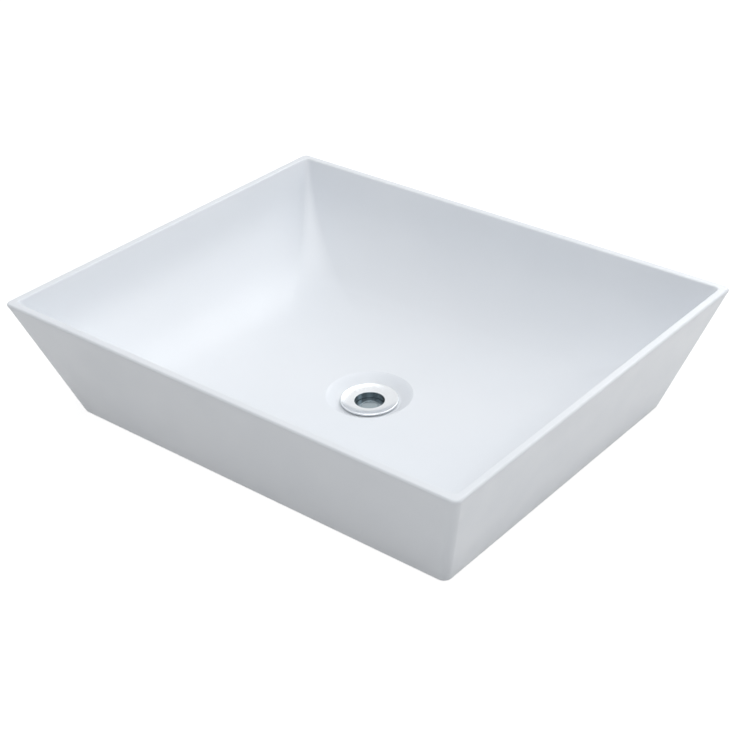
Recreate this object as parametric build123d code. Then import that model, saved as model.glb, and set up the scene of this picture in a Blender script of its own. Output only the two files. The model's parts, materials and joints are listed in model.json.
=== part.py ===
from build123d import *
import math
import os

# Rectangular countertop basin with a push-button waste. Millimetres, +Z up.
# The origin lies on the drain's axis, in the plane of the worktop that the basin stands on.

# Basin, outside
BASIN_LENGTH = 550.0
BASIN_WIDTH = 448.0
BASIN_HEIGHT = 130.0
WALL_LEAN = 45.0
RIM_WIDTH = 9.5
OUTER_CORNER_RADIUS = 8.0
RIM_EDGE_RADIUS = 2.2
FOOT_EDGE_RADIUS = 3.0
FOOT_WIDTH = 11.0

# Basin, bowl
BOWL_BLEND_RADIUS = 120.0
BOWL_SKIN = 9.0
BOWL_TOP_CORNER_RADIUS = 6.0
BOWL_FLOOR_CORNER_RADIUS = 62.0
CORNER_GROWTH_POWER = 1.3
FLOOR_SLOPE_DEG = 4.0
FLOOR_RISE = 5.8
FLOOR_FLAT_MARGIN = 1.5
FLOOR_FLAT_STRETCH = 1.0
WALL_SECTIONS = 2
BLEND_SECTIONS = 16

# Basin, drain hole and the recess round it
DRAIN_HOLE_RADIUS = 22.5
DRAIN_BOSS_RADIUS = 38.0
SEAT_THICKNESS = 7.5
SEAT_RADIUS = 31.5
RECESS_DEPTH = 8.7
RECESS_RADIUS = 43.0
RECESS_START_SLOPE = 0.35
RECESS_END_SLOPE = 0.3
RECESS_OVERSHOOT = 4.0

# Waste body
FLANGE_RADIUS = 29.8
FLANGE_EDGE = 2.0
FLANGE_EDGE_ROUND = 0.7
FLANGE_DISH = 1.8
FLANGE_DISH_SAG = 0.5
THROAT_RADIUS = 15.25
THROAT_SPARE = 1.0
LIP_ROUND = 0.6
NECK_RADIUS = 20.75
SPIGOT_RADIUS = 20.95
SPIGOT_LENGTH = 12.0
THREAD_PITCH = 2.309
THREAD_DEPTH = 1.479
THREAD_FLAT = 0.4
THREAD_TURNS = 17
WATERWAY_RADIUS = 16.0
WATERWAY_STEP = 1.0
SOCKET_RADIUS = 17.9
SOCKET_DEPTH = 12.0
SHANK_TAIL = 11.5

# Spider across the waterway, which carries the cartridge
HUB_RADIUS = 10.5
HUB_HEIGHT = 6.0
ARM_COUNT = 4
ARM_WIDTH = 3.0
ARM_HEIGHT = 4.0
ARM_ROOT = 0.5

# Clamping parts under the worktop
WORKTOP_GAP = 20.0
GASKET_THICKNESS = 1.5
GASKET_WIDTH = 7.0
BORE_CLEARANCE = 0.25
RUBBER_HEIGHT = 8.0
RUBBER_TOP_RADIUS = 27.0
CLAMP_RADIUS = 31.0
RUBBER_EDGE = 3.0
SLIP_WASHER_THICKNESS = 1.5
NUT_FLANGE_HEIGHT = 2.5
NUT_HEIGHT = 11.0
NUT_ACROSS_FLATS = 52.0
NUT_THREAD_CLEARANCE = 0.1

# Tailpiece
TAIL_RADIUS = 16.0
TAIL_WALL = 1.2
TAIL_EXPOSED = 64.0
TAIL_HEAD_CLEARANCE = 0.05
TAIL_SEAL_THICKNESS = 2.0
TAIL_END_CHAMFER = 0.5

# Plug
PLUG_RECESS = 6.5
PLUG_CLEARANCE = 0.25
PLUG_TOP_THICKNESS = 2.4
PLUG_GROOVE_HEIGHT = 2.2
PLUG_FOOT_THICKNESS = 1.4
PLUG_EDGE_ROUND = 0.5
PLUG_RING_RADIUS = 8.6
PLUG_RING_WIDTH = 0.8
PLUG_RING_DEPTH = 0.35
SEAL_SECTION_RADIUS = 1.05
SEAL_BORE_CLEARANCE = 0.05
SEAL_GROOVE_CLEARANCE = 0.02
PLUG_BOSS_RADIUS = 5.2
PLUG_BOSS_HEIGHT = 3.6
STUD_RADIUS = 2.5
STUD_CLEARANCE = 0.03
STUD_IN_PLUG = 5.0
STUD_IN_PLUNGER = 7.0
JAM_NUT_ACROSS_FLATS = 8.0
JAM_NUT_HEIGHT = 2.4

# Cartridge
PLUG_STROKE = 15.0
PLUG_OVERTRAVEL = 1.5
PLUNGER_RADIUS = 3.9
PLUNGER_COLLAR_RADIUS = 5.3
PLUNGER_COLLAR_HEIGHT = 2.0
PLUNGER_PIN_RADIUS = 2.0
PIN_TAIL = 1.6
CAP_GAP = 1.0
CAP_PLATE = 2.0
CAP_SKIRT = 5.0
CAP_RADIUS = 9.4
BARREL_RADIUS = 8.0
BARREL_BORE_RADIUS = 5.6
BARREL_SPARE = 1.6
BARREL_FLOOR = 1.0
SLIDING_CLEARANCE = 0.05
ROTOR_HEIGHT = 4.0
ROTOR_CORE_CLEARANCE = 0.4
ROTOR_LUGS = 3
ROTOR_LUG_RADIUS = 6.6
ROTOR_LUG_WIDTH = 3.2
ROTOR_TURN_DEG = 45.0
ROTOR_END_PLAY = 0.05
GUIDE_CLEARANCE = 0.2
CLIP_RADIUS = 3.5
CLIP_THICKNESS = 0.8
CLIP_SLOT = 1.6
SPRING_RADIUS = 4.55
SPRING_WIRE = 0.8
SPRING_TURNS = 7
SPRING_LENGTH = 11.5
SPRING_POCKET_RADIUS = 5.2
SPRING_SEAT_GAP = 0.05
SPIGOT_WALL = 1.7
SPIGOT_FLOOR = 1.5
SPIGOT_DRAIN_RADIUS = 2.0
CARTRIDGE_NUT_ACROSS_FLATS = 18.0
CARTRIDGE_NUT_HEIGHT = 3.0
CARTRIDGE_WASHER_THICKNESS = 1.0

# How far a cutting tool runs past the face that it opens
CUT_SPARE = 1.0

# Outer walls: half sizes at the rim's sharp corner, which rounding then trims to the real size
LEAN_ANGLE = math.atan2(WALL_LEAN, BASIN_HEIGHT)
RIM_TRIM = RIM_EDGE_RADIUS * (math.tan(LEAN_ANGLE) + 1 / math.cos(LEAN_ANGLE) - 1)
HALF_LENGTH = BASIN_LENGTH / 2 + RIM_TRIM
HALF_WIDTH = BASIN_WIDTH / 2 + RIM_TRIM

# Heights of the waste above the worktop, from the seat up
FLANGE_UNDERSIDE_Z = SEAT_THICKNESS + GASKET_THICKNESS
FLANGE_TOP_Z = FLANGE_UNDERSIDE_Z + FLANGE_EDGE
LIP_Z = FLANGE_TOP_Z - FLANGE_DISH
FLOOR_CENTRE_Z = SEAT_THICKNESS + RECESS_DEPTH
FLOOR_EDGE_Z = FLOOR_CENTRE_Z + FLOOR_RISE

# Plug, from its top down
PLUG_TOP_Z = LIP_Z - PLUG_RECESS
PLUG_GROOVE_TOP_Z = PLUG_TOP_Z - PLUG_TOP_THICKNESS
PLUG_GROOVE_BOTTOM_Z = PLUG_GROOVE_TOP_Z - PLUG_GROOVE_HEIGHT
PLUG_FOOT_Z = PLUG_GROOVE_BOTTOM_Z - PLUG_FOOT_THICKNESS
PLUG_BOSS_Z = PLUG_FOOT_Z - PLUG_BOSS_HEIGHT
PLUG_RADIUS = THROAT_RADIUS - PLUG_CLEARANCE
SEAL_OUTER_RADIUS = THROAT_RADIUS - SEAL_BORE_CLEARANCE
SEAL_CENTRE_RADIUS = SEAL_OUTER_RADIUS - SEAL_SECTION_RADIUS
PLUG_GROOVE_RADIUS = SEAL_CENTRE_RADIUS - SEAL_SECTION_RADIUS - SEAL_GROOVE_CLEARANCE
STUD_TOP_Z = PLUG_BOSS_Z + STUD_IN_PLUG

# Cartridge, from its cap down
PLUNGER_TOP_Z = PLUG_BOSS_Z - JAM_NUT_HEIGHT
STUD_BOTTOM_Z = PLUNGER_TOP_Z - STUD_IN_PLUNGER
CAP_TOP_Z = PLUNGER_TOP_Z - PLUG_OVERTRAVEL - CAP_GAP
BARREL_TOP_Z = CAP_TOP_Z - CAP_PLATE
COLLAR_TOP_Z = BARREL_TOP_Z - PLUG_STROKE - BARREL_SPARE
COLLAR_BOTTOM_Z = COLLAR_TOP_Z - PLUNGER_COLLAR_HEIGHT
ROTOR_TOP_Z = COLLAR_BOTTOM_Z - ROTOR_END_PLAY
ROTOR_BOTTOM_Z = ROTOR_TOP_Z - ROTOR_HEIGHT
CLIP_TOP_Z = ROTOR_BOTTOM_Z - ROTOR_END_PLAY
PIN_BOTTOM_Z = CLIP_TOP_Z - PIN_TAIL
GUIDE_BOTTOM_Z = ROTOR_BOTTOM_Z - PLUG_OVERTRAVEL - BARREL_SPARE
BARREL_BOTTOM_Z = GUIDE_BOTTOM_Z - BARREL_FLOOR
SPRING_TOP_Z = ROTOR_BOTTOM_Z - SPRING_SEAT_GAP
SPRING_BOTTOM_Z = SPRING_TOP_Z - SPRING_LENGTH
SPIGOT_FLOOR_Z = SPRING_BOTTOM_Z - SPRING_SEAT_GAP
SPIGOT_BOTTOM_Z = SPIGOT_FLOOR_Z - SPIGOT_FLOOR
CARTRIDGE_SPIGOT_RADIUS = SPRING_POCKET_RADIUS + SPIGOT_WALL
HUB_TOP_Z = BARREL_BOTTOM_Z - CARTRIDGE_WASHER_THICKNESS
HUB_BOTTOM_Z = HUB_TOP_Z - HUB_HEIGHT
ROTOR_TWIST_PER_MM = ROTOR_TURN_DEG / PLUG_STROKE

# Shank of the waste, from the worktop down
THREAD_TOP_Z = -SPIGOT_LENGTH
THREAD_BOTTOM_Z = THREAD_TOP_Z - THREAD_TURNS * THREAD_PITCH
THREAD_FLANK = (THREAD_PITCH - 2 * THREAD_FLAT) / 2
THREAD_ROOT_RADIUS = SPIGOT_RADIUS - THREAD_DEPTH
SHANK_BOTTOM_Z = THREAD_BOTTOM_Z - SHANK_TAIL
SOCKET_TOP_Z = SHANK_BOTTOM_Z + SOCKET_DEPTH
THROAT_BOTTOM_Z = PLUG_FOOT_Z - PLUG_OVERTRAVEL - THROAT_SPARE
RUBBER_TOP_Z = -WORKTOP_GAP
RUBBER_BOTTOM_Z = RUBBER_TOP_Z - RUBBER_HEIGHT
SLIP_WASHER_BOTTOM_Z = RUBBER_BOTTOM_Z - SLIP_WASHER_THICKNESS
NUT_BOTTOM_Z = SLIP_WASHER_BOTTOM_Z - NUT_HEIGHT
TAIL_TOP_Z = SOCKET_TOP_Z - TAIL_SEAL_THICKNESS
TAIL_BOTTOM_Z = SHANK_BOTTOM_Z - TAIL_EXPOSED
CLAMP_BORE_RADIUS = SPIGOT_RADIUS + BORE_CLEARANCE

# Bowl outline in section: inset from the rim's inner edge, and height
WALL_ANGLE = math.atan2(BASIN_HEIGHT, WALL_LEAN)
FLOOR_ANGLE = math.radians(FLOOR_SLOPE_DEG)
BLEND_CENTRE_Z = FLOOR_EDGE_Z + BOWL_BLEND_RADIUS * math.cos(FLOOR_ANGLE)
BLEND_TOP_Z = BLEND_CENTRE_Z - BOWL_BLEND_RADIUS * math.cos(WALL_ANGLE)
BLEND_TOP_INSET = (BASIN_HEIGHT - BLEND_TOP_Z) / math.tan(WALL_ANGLE)
BLEND_CENTRE_INSET = BLEND_TOP_INSET + BOWL_BLEND_RADIUS * math.sin(WALL_ANGLE)
FLOOR_EDGE_INSET = BLEND_CENTRE_INSET - BOWL_BLEND_RADIUS * math.sin(FLOOR_ANGLE)


def turned(outline):
    """Solid turned about the Z axis from closed (radius, height) points."""
    points = [(radius, 0, height) for radius, height in outline]
    return revolve(make_face(Polyline(*points, close=True)), Axis.Z)


def ring(inner, outer, bottom, top):
    """Flat ring between two radii and two heights."""
    return turned([(inner, bottom), (outer, bottom), (outer, top), (inner, top)])


def rod(radius, bottom, top):
    """Plain cylinder on the Z axis between two heights."""
    return Pos(0, 0, bottom) * extrude(Circle(radius), amount=top - bottom)


def hexagon(across_flats, bottom, top):
    """Hexagonal prism on the Z axis between two heights."""
    outline = RegularPolygon(across_flats / 2, 6, major_radius=False)
    return Pos(0, 0, bottom) * extrude(outline, amount=top - bottom)


def rounded_section(half_length, half_width, corner, height):
    """Horizontal rounded rectangle centred on the drain's axis."""
    return Pos(0, 0, height) * RectangleRounded(2 * half_length, 2 * half_width, corner)


def tapered_block(inset, bottom, top):
    """Block whose four walls lean as the basin's do, moved in by inset."""
    sections = []
    for height in (bottom, top):
        lean = WALL_LEAN * (1 - height / BASIN_HEIGHT)
        half_length = HALF_LENGTH - lean - inset
        half_width = HALF_WIDTH - lean - inset
        sections.append(rounded_section(half_length, half_width, OUTER_CORNER_RADIUS, height))
    return loft(sections, ruled=True)


def bowl_profile():
    """Inset, height and slope of the bowl's wall, from the rim down to the floor's edge."""
    profile = []
    for step in range(WALL_SECTIONS):
        height = BASIN_HEIGHT + (BLEND_TOP_Z - BASIN_HEIGHT) * step / WALL_SECTIONS
        inset = (BASIN_HEIGHT - height) / math.tan(WALL_ANGLE)
        profile.append((inset, height, WALL_ANGLE))
    for step in range(BLEND_SECTIONS + 1):
        slope = WALL_ANGLE + (FLOOR_ANGLE - WALL_ANGLE) * step / BLEND_SECTIONS
        inset = BLEND_CENTRE_INSET - BOWL_BLEND_RADIUS * math.sin(slope)
        height = BLEND_CENTRE_Z - BOWL_BLEND_RADIUS * math.cos(slope)
        profile.append((inset, height, slope))
    return profile


def bowl_block(thickness):
    """Solid of the bowl's hollow, grown outwards by thickness square to its surface."""
    sections = []
    half_length = HALF_LENGTH - RIM_WIDTH
    half_width = HALF_WIDTH - RIM_WIDTH
    for inset, height, slope in bowl_profile():
        share = (inset / FLOOR_EDGE_INSET) ** CORNER_GROWTH_POWER
        corner = BOWL_TOP_CORNER_RADIUS + (BOWL_FLOOR_CORNER_RADIUS - BOWL_TOP_CORNER_RADIUS) * share
        growth = thickness * math.sin(slope)
        sections.append(rounded_section(half_length - inset + growth, half_width - inset + growth,
                                        corner + growth, height - thickness * math.cos(slope)))
    flat_width = RECESS_RADIUS + FLOOR_FLAT_MARGIN
    sections.append(rounded_section(flat_width + FLOOR_FLAT_STRETCH, flat_width,
                                    flat_width - FLOOR_FLAT_STRETCH, FLOOR_CENTRE_Z - thickness))
    return loft(sections, ruled=True)


def recess_block():
    """Turned hollow round the drain: a flat seat, and a soft slope up to the floor."""
    end_radius = RECESS_RADIUS + RECESS_OVERSHOOT
    end_height = FLOOR_CENTRE_Z + RECESS_OVERSHOOT * RECESS_END_SLOPE
    slope = Spline((SEAT_RADIUS, 0, SEAT_THICKNESS), (end_radius, 0, end_height),
                   tangents=[(1, 0, RECESS_START_SLOPE), (1, 0, RECESS_END_SLOPE)])
    closing = Polyline((end_radius, 0, end_height), (end_radius, 0, BASIN_HEIGHT),
                       (0, 0, BASIN_HEIGHT), (0, 0, SEAT_THICKNESS), (SEAT_RADIUS, 0, SEAT_THICKNESS))
    return revolve(make_face(slope.edges() + closing.edges()), Axis.Z)


def make_basin():
    """Ceramic basin: leaning outer walls, soft bowl, drain recess, and a hollow underside."""
    body = tapered_block(0, 0, BASIN_HEIGHT)
    body = fillet(body.faces().sort_by(Axis.Z)[-1].outer_wire().edges(), RIM_EDGE_RADIUS)
    body = fillet(body.faces().sort_by(Axis.Z)[0].outer_wire().edges(), FOOT_EDGE_RADIUS)
    body -= bowl_block(0)
    rim = body.faces().sort_by(Axis.Z)[-1]
    body = fillet(rim.inner_wires()[0].edges(), RIM_EDGE_RADIUS)
    block = Pos(0, 0, (BLEND_TOP_Z - CUT_SPARE) / 2) * Box(
        BASIN_LENGTH + 2 * CUT_SPARE, BASIN_WIDTH + 2 * CUT_SPARE, BLEND_TOP_Z + CUT_SPARE)
    outside = block - tapered_block(FOOT_WIDTH, -CUT_SPARE, BLEND_TOP_Z)
    hollow = block - bowl_block(BOWL_SKIN)
    hollow -= outside
    hollow -= rod(DRAIN_BOSS_RADIUS, -CUT_SPARE, BASIN_HEIGHT)
    body -= hollow
    body -= recess_block()
    return body - rod(DRAIN_HOLE_RADIUS, -CUT_SPARE, FLOOR_CENTRE_Z)


def thread_outline(top, bottom, growth):
    """Thread ridges between two heights, as (radius, height) points from the top down."""
    points = []
    for turn in range(THREAD_TURNS):
        start = THREAD_TOP_Z - turn * THREAD_PITCH
        if start > top or start - THREAD_PITCH < bottom:
            continue
        points += [
            (THREAD_ROOT_RADIUS + growth, start),
            (SPIGOT_RADIUS + growth, start - THREAD_FLANK),
            (SPIGOT_RADIUS + growth, start - THREAD_FLANK - THREAD_FLAT),
            (THREAD_ROOT_RADIUS + growth, start - 2 * THREAD_FLANK - THREAD_FLAT),
        ]
    return points


def flange_and_shank():
    """Turned outline of the waste body: dished flange, neck, spigot, thread, socket and bore."""
    outer_top = (FLANGE_RADIUS - FLANGE_EDGE_ROUND, 0, FLANGE_TOP_Z)
    lip = (THROAT_RADIUS + LIP_ROUND, 0, LIP_Z)
    middle = ((outer_top[0] + lip[0]) / 2, 0, (FLANGE_TOP_Z + LIP_Z) / 2 - FLANGE_DISH_SAG)
    dish = ThreePointArc(outer_top, middle, lip)
    outline = [
        (THROAT_RADIUS + LIP_ROUND, LIP_Z),
        (THROAT_RADIUS, LIP_Z - LIP_ROUND),
        (THROAT_RADIUS, THROAT_BOTTOM_Z),
        (WATERWAY_RADIUS, THROAT_BOTTOM_Z - WATERWAY_STEP),
        (WATERWAY_RADIUS, SOCKET_TOP_Z),
        (SOCKET_RADIUS, SOCKET_TOP_Z),
        (SOCKET_RADIUS, SHANK_BOTTOM_Z),
        (THREAD_ROOT_RADIUS, SHANK_BOTTOM_Z),
        (THREAD_ROOT_RADIUS, THREAD_BOTTOM_Z),
    ]
    outline += reversed(thread_outline(THREAD_TOP_Z, THREAD_BOTTOM_Z, 0))
    outline += [
        (SPIGOT_RADIUS, THREAD_TOP_Z),
        (SPIGOT_RADIUS, 0),
        (NECK_RADIUS, 0),
        (NECK_RADIUS, FLANGE_UNDERSIDE_Z),
        (FLANGE_RADIUS, FLANGE_UNDERSIDE_Z),
        (FLANGE_RADIUS, FLANGE_TOP_Z - FLANGE_EDGE_ROUND),
        (FLANGE_RADIUS - FLANGE_EDGE_ROUND, FLANGE_TOP_Z),
    ]
    sides = Polyline(*[(radius, 0, height) for radius, height in outline])
    return revolve(make_face(dish.edges() + sides.edges()), Axis.Z)


def make_waste_body():
    """Waste body: the turned shell, with a four-armed spider and a bored hub inside it."""
    reach = WATERWAY_RADIUS + ARM_ROOT
    arms = []
    for index in range(ARM_COUNT):
        arm = Pos(reach / 2, 0, HUB_BOTTOM_Z + HUB_HEIGHT / 2) * Box(reach, ARM_WIDTH, ARM_HEIGHT)
        arms.append(Rot(0, 0, index * 360 / ARM_COUNT) * arm)
    spider = rod(HUB_RADIUS, HUB_BOTTOM_Z, HUB_TOP_Z) + arms
    bore = rod(CARTRIDGE_SPIGOT_RADIUS + SLIDING_CLEARANCE, HUB_BOTTOM_Z - CUT_SPARE,
               HUB_TOP_Z + CUT_SPARE)
    return flange_and_shank() + (spider - bore)


def make_flange_gasket():
    """Flat seal between the flange and its seat in the basin."""
    inner = NECK_RADIUS + BORE_CLEARANCE
    return ring(inner, inner + GASKET_WIDTH, SEAT_THICKNESS, FLANGE_UNDERSIDE_Z)


def make_tapered_washer():
    """Rubber washer under the worktop, wider at its foot."""
    return turned([
        (CLAMP_BORE_RADIUS, RUBBER_BOTTOM_Z),
        (CLAMP_RADIUS, RUBBER_BOTTOM_Z),
        (CLAMP_RADIUS, RUBBER_BOTTOM_Z + RUBBER_EDGE),
        (RUBBER_TOP_RADIUS, RUBBER_TOP_Z),
        (CLAMP_BORE_RADIUS, RUBBER_TOP_Z),
    ])


def make_slip_washer():
    """Thin washer that lets the nut turn without dragging the rubber."""
    return ring(CLAMP_BORE_RADIUS, CLAMP_RADIUS, SLIP_WASHER_BOTTOM_Z, RUBBER_BOTTOM_Z)


def make_lock_nut():
    """Flanged hexagon nut on the shank's thread."""
    flange_bottom = SLIP_WASHER_BOTTOM_Z - NUT_FLANGE_HEIGHT
    blank = hexagon(NUT_ACROSS_FLATS, NUT_BOTTOM_Z, flange_bottom)
    blank += rod(CLAMP_RADIUS, flange_bottom, SLIP_WASHER_BOTTOM_Z)
    ridges = thread_outline(SLIP_WASHER_BOTTOM_Z, NUT_BOTTOM_Z, NUT_THREAD_CLEARANCE)
    mouth = SPIGOT_RADIUS + NUT_THREAD_CLEARANCE
    top = SLIP_WASHER_BOTTOM_Z + CUT_SPARE
    bottom = NUT_BOTTOM_Z - CUT_SPARE
    tool = [(0, top), (mouth, top), (mouth, ridges[0][1])]
    tool += ridges
    tool += [(mouth, ridges[-1][1]), (mouth, bottom), (0, bottom)]
    return blank - turned(tool)


def make_tail_seal():
    """Ring that seals the tailpiece against the top of its socket."""
    return ring(WATERWAY_RADIUS, SOCKET_RADIUS - TAIL_HEAD_CLEARANCE, TAIL_TOP_Z, SOCKET_TOP_Z)


def make_tailpiece():
    """Outlet tube with a thicker head that screws into the waste body."""
    bore = TAIL_RADIUS - TAIL_WALL
    head = SOCKET_RADIUS - TAIL_HEAD_CLEARANCE
    return turned([
        (bore, TAIL_TOP_Z),
        (head, TAIL_TOP_Z),
        (head, SHANK_BOTTOM_Z),
        (TAIL_RADIUS, SHANK_BOTTOM_Z),
        (TAIL_RADIUS, TAIL_BOTTOM_Z + TAIL_END_CHAMFER),
        (TAIL_RADIUS - TAIL_END_CHAMFER, TAIL_BOTTOM_Z),
        (bore, TAIL_BOTTOM_Z),
    ])


def make_plug_cap():
    """Plug: a disc, a groove for its seal, a foot and a tapped boss."""
    groove_inner = PLUG_RING_RADIUS - PLUG_RING_WIDTH / 2
    groove_outer = PLUG_RING_RADIUS + PLUG_RING_WIDTH / 2
    stud_bore = STUD_RADIUS + STUD_CLEARANCE
    return turned([
        (0, PLUG_TOP_Z),
        (groove_inner, PLUG_TOP_Z),
        (groove_inner, PLUG_TOP_Z - PLUG_RING_DEPTH),
        (groove_outer, PLUG_TOP_Z - PLUG_RING_DEPTH),
        (groove_outer, PLUG_TOP_Z),
        (PLUG_RADIUS - PLUG_EDGE_ROUND, PLUG_TOP_Z),
        (PLUG_RADIUS, PLUG_TOP_Z - PLUG_EDGE_ROUND),
        (PLUG_RADIUS, PLUG_GROOVE_TOP_Z),
        (PLUG_GROOVE_RADIUS, PLUG_GROOVE_TOP_Z),
        (PLUG_GROOVE_RADIUS, PLUG_GROOVE_BOTTOM_Z),
        (PLUG_RADIUS, PLUG_GROOVE_BOTTOM_Z),
        (PLUG_RADIUS, PLUG_FOOT_Z + PLUG_EDGE_ROUND),
        (PLUG_RADIUS - PLUG_EDGE_ROUND, PLUG_FOOT_Z),
        (PLUG_BOSS_RADIUS, PLUG_FOOT_Z),
        (PLUG_BOSS_RADIUS, PLUG_BOSS_Z),
        (stud_bore, PLUG_BOSS_Z),
        (stud_bore, STUD_TOP_Z + STUD_CLEARANCE),
        (0, STUD_TOP_Z + STUD_CLEARANCE),
    ])


def make_plug_seal():
    """Round-section sealing ring in the plug's groove."""
    height = (PLUG_GROOVE_TOP_Z + PLUG_GROOVE_BOTTOM_Z) / 2
    return Pos(0, 0, height) * Torus(SEAL_CENTRE_RADIUS, SEAL_SECTION_RADIUS)


def make_plug_stud():
    """Threaded stud that joins the plug to the plunger."""
    return rod(STUD_RADIUS, STUD_BOTTOM_Z, STUD_TOP_Z)


def make_jam_nut():
    """Thin nut on the stud that sets the plug's height."""
    nut = hexagon(JAM_NUT_ACROSS_FLATS, PLUNGER_TOP_Z, PLUG_BOSS_Z)
    bore = rod(STUD_RADIUS + STUD_CLEARANCE, PLUNGER_TOP_Z - CUT_SPARE, PLUG_BOSS_Z + CUT_SPARE)
    return nut - bore


def make_plunger():
    """Plunger: a shaft tapped for the stud, a collar, and a pin that carries the rotor."""
    stud_bore = STUD_RADIUS + STUD_CLEARANCE
    return turned([
        (stud_bore, PLUNGER_TOP_Z),
        (PLUNGER_RADIUS, PLUNGER_TOP_Z),
        (PLUNGER_RADIUS, COLLAR_TOP_Z),
        (PLUNGER_COLLAR_RADIUS, COLLAR_TOP_Z),
        (PLUNGER_COLLAR_RADIUS, COLLAR_BOTTOM_Z),
        (PLUNGER_PIN_RADIUS, COLLAR_BOTTOM_Z),
        (PLUNGER_PIN_RADIUS, PIN_BOTTOM_Z),
        (0, PIN_BOTTOM_Z),
        (0, STUD_BOTTOM_Z - STUD_CLEARANCE),
        (stud_bore, STUD_BOTTOM_Z - STUD_CLEARANCE),
    ])


def twisted_star(core_radius, tip_radius, width, bottom, height):
    """Disc with evenly spaced lugs, twisted as it rises at the rotor's rate of turn."""
    reach = tip_radius - core_radius / 2
    outline = Circle(core_radius)
    for index in range(ROTOR_LUGS):
        lug = Pos(core_radius / 2 + reach / 2, 0, 0) * Rectangle(reach, width)
        outline += Rot(0, 0, index * 360 / ROTOR_LUGS) * lug
    twist = ROTOR_TWIST_PER_MM * height
    start = Rot(0, 0, ROTOR_TWIST_PER_MM * (bottom - ROTOR_BOTTOM_Z)) * outline
    solid = Solid.extrude_linear_with_rotation(start.faces()[0], (0, 0, 0), (0, 0, height), twist)
    return Pos(0, 0, bottom) * solid


def make_rotor():
    """Rotor whose lugs run in the barrel's spiral guides."""
    core_radius = BARREL_BORE_RADIUS - ROTOR_CORE_CLEARANCE
    star = twisted_star(core_radius, ROTOR_LUG_RADIUS, ROTOR_LUG_WIDTH, ROTOR_BOTTOM_Z, ROTOR_HEIGHT)
    pin_bore = PLUNGER_PIN_RADIUS + SLIDING_CLEARANCE
    return star - rod(pin_bore, ROTOR_BOTTOM_Z - CUT_SPARE, ROTOR_TOP_Z + CUT_SPARE)


def make_rotor_clip():
    """Open clip that keeps the rotor on the plunger's pin."""
    clip = ring(PLUNGER_PIN_RADIUS, CLIP_RADIUS, CLIP_TOP_Z - CLIP_THICKNESS, CLIP_TOP_Z)
    slot_height = 2 * (CLIP_THICKNESS + CUT_SPARE)
    slot = Pos(CLIP_RADIUS, 0, CLIP_TOP_Z) * Box(2 * CLIP_RADIUS, CLIP_SLOT, slot_height)
    return clip - slot


def make_spring():
    """Compression spring under the rotor."""
    rise = SPRING_LENGTH - SPRING_WIRE
    path = Helix(rise / SPRING_TURNS, rise, SPRING_RADIUS)
    section = Plane(origin=path @ 0, z_dir=path % 0) * Circle(SPRING_WIRE / 2)
    coil = sweep(section, path=path, is_frenet=True)
    return Pos(0, 0, SPRING_BOTTOM_Z + SPRING_WIRE / 2) * coil


def make_cartridge_housing():
    """Barrel with three spiral guides, on a threaded spigot that holds the spring."""
    shell = turned([
        (0, BARREL_TOP_Z),
        (BARREL_RADIUS, BARREL_TOP_Z),
        (BARREL_RADIUS, BARREL_BOTTOM_Z),
        (CARTRIDGE_SPIGOT_RADIUS, BARREL_BOTTOM_Z),
        (CARTRIDGE_SPIGOT_RADIUS, SPIGOT_BOTTOM_Z),
        (0, SPIGOT_BOTTOM_Z),
    ])
    shell -= twisted_star(BARREL_BORE_RADIUS, ROTOR_LUG_RADIUS + GUIDE_CLEARANCE,
                          ROTOR_LUG_WIDTH + 2 * GUIDE_CLEARANCE, GUIDE_BOTTOM_Z,
                          BARREL_TOP_Z - GUIDE_BOTTOM_Z)
    shell -= rod(SPRING_POCKET_RADIUS, SPIGOT_FLOOR_Z, BARREL_TOP_Z)
    return shell - rod(SPIGOT_DRAIN_RADIUS, SPIGOT_BOTTOM_Z - CUT_SPARE, SPIGOT_FLOOR_Z + CUT_SPARE)


def make_cartridge_cap():
    """Cap that closes the barrel and guides the plunger's shaft."""
    shaft_bore = PLUNGER_RADIUS + SLIDING_CLEARANCE
    skirt_bore = BARREL_RADIUS + SLIDING_CLEARANCE
    return turned([
        (shaft_bore, CAP_TOP_Z),
        (CAP_RADIUS, CAP_TOP_Z),
        (CAP_RADIUS, BARREL_TOP_Z - CAP_SKIRT),
        (skirt_bore, BARREL_TOP_Z - CAP_SKIRT),
        (skirt_bore, BARREL_TOP_Z),
        (shaft_bore, BARREL_TOP_Z),
    ])


def make_cartridge_washer():
    """Fibre washer between the barrel's shoulder and the hub."""
    inner = CARTRIDGE_SPIGOT_RADIUS + SLIDING_CLEARANCE
    return ring(inner, HUB_RADIUS, HUB_TOP_Z, BARREL_BOTTOM_Z)


def make_cartridge_nut():
    """Thin nut that holds the cartridge's spigot under the hub."""
    bottom = HUB_BOTTOM_Z - CARTRIDGE_NUT_HEIGHT
    nut = hexagon(CARTRIDGE_NUT_ACROSS_FLATS, bottom, HUB_BOTTOM_Z)
    bore_radius = CARTRIDGE_SPIGOT_RADIUS + SLIDING_CLEARANCE
    return nut - rod(bore_radius, bottom - CUT_SPARE, HUB_BOTTOM_Z + CUT_SPARE)


NODES = {
    "basin": make_basin,
    "flange_gasket": make_flange_gasket,
    "waste_body": make_waste_body,
    "tapered_washer": make_tapered_washer,
    "slip_washer": make_slip_washer,
    "lock_nut": make_lock_nut,
    "tail_seal": make_tail_seal,
    "tailpiece": make_tailpiece,
    "plug_cap": make_plug_cap,
    "plug_seal": make_plug_seal,
    "plug_stud": make_plug_stud,
    "jam_nut": make_jam_nut,
    "plunger": make_plunger,
    "rotor": make_rotor,
    "rotor_clip": make_rotor_clip,
    "spring": make_spring,
    "cartridge_housing": make_cartridge_housing,
    "cartridge_cap": make_cartridge_cap,
    "cartridge_washer": make_cartridge_washer,
    "cartridge_nut": make_cartridge_nut,
}

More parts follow.
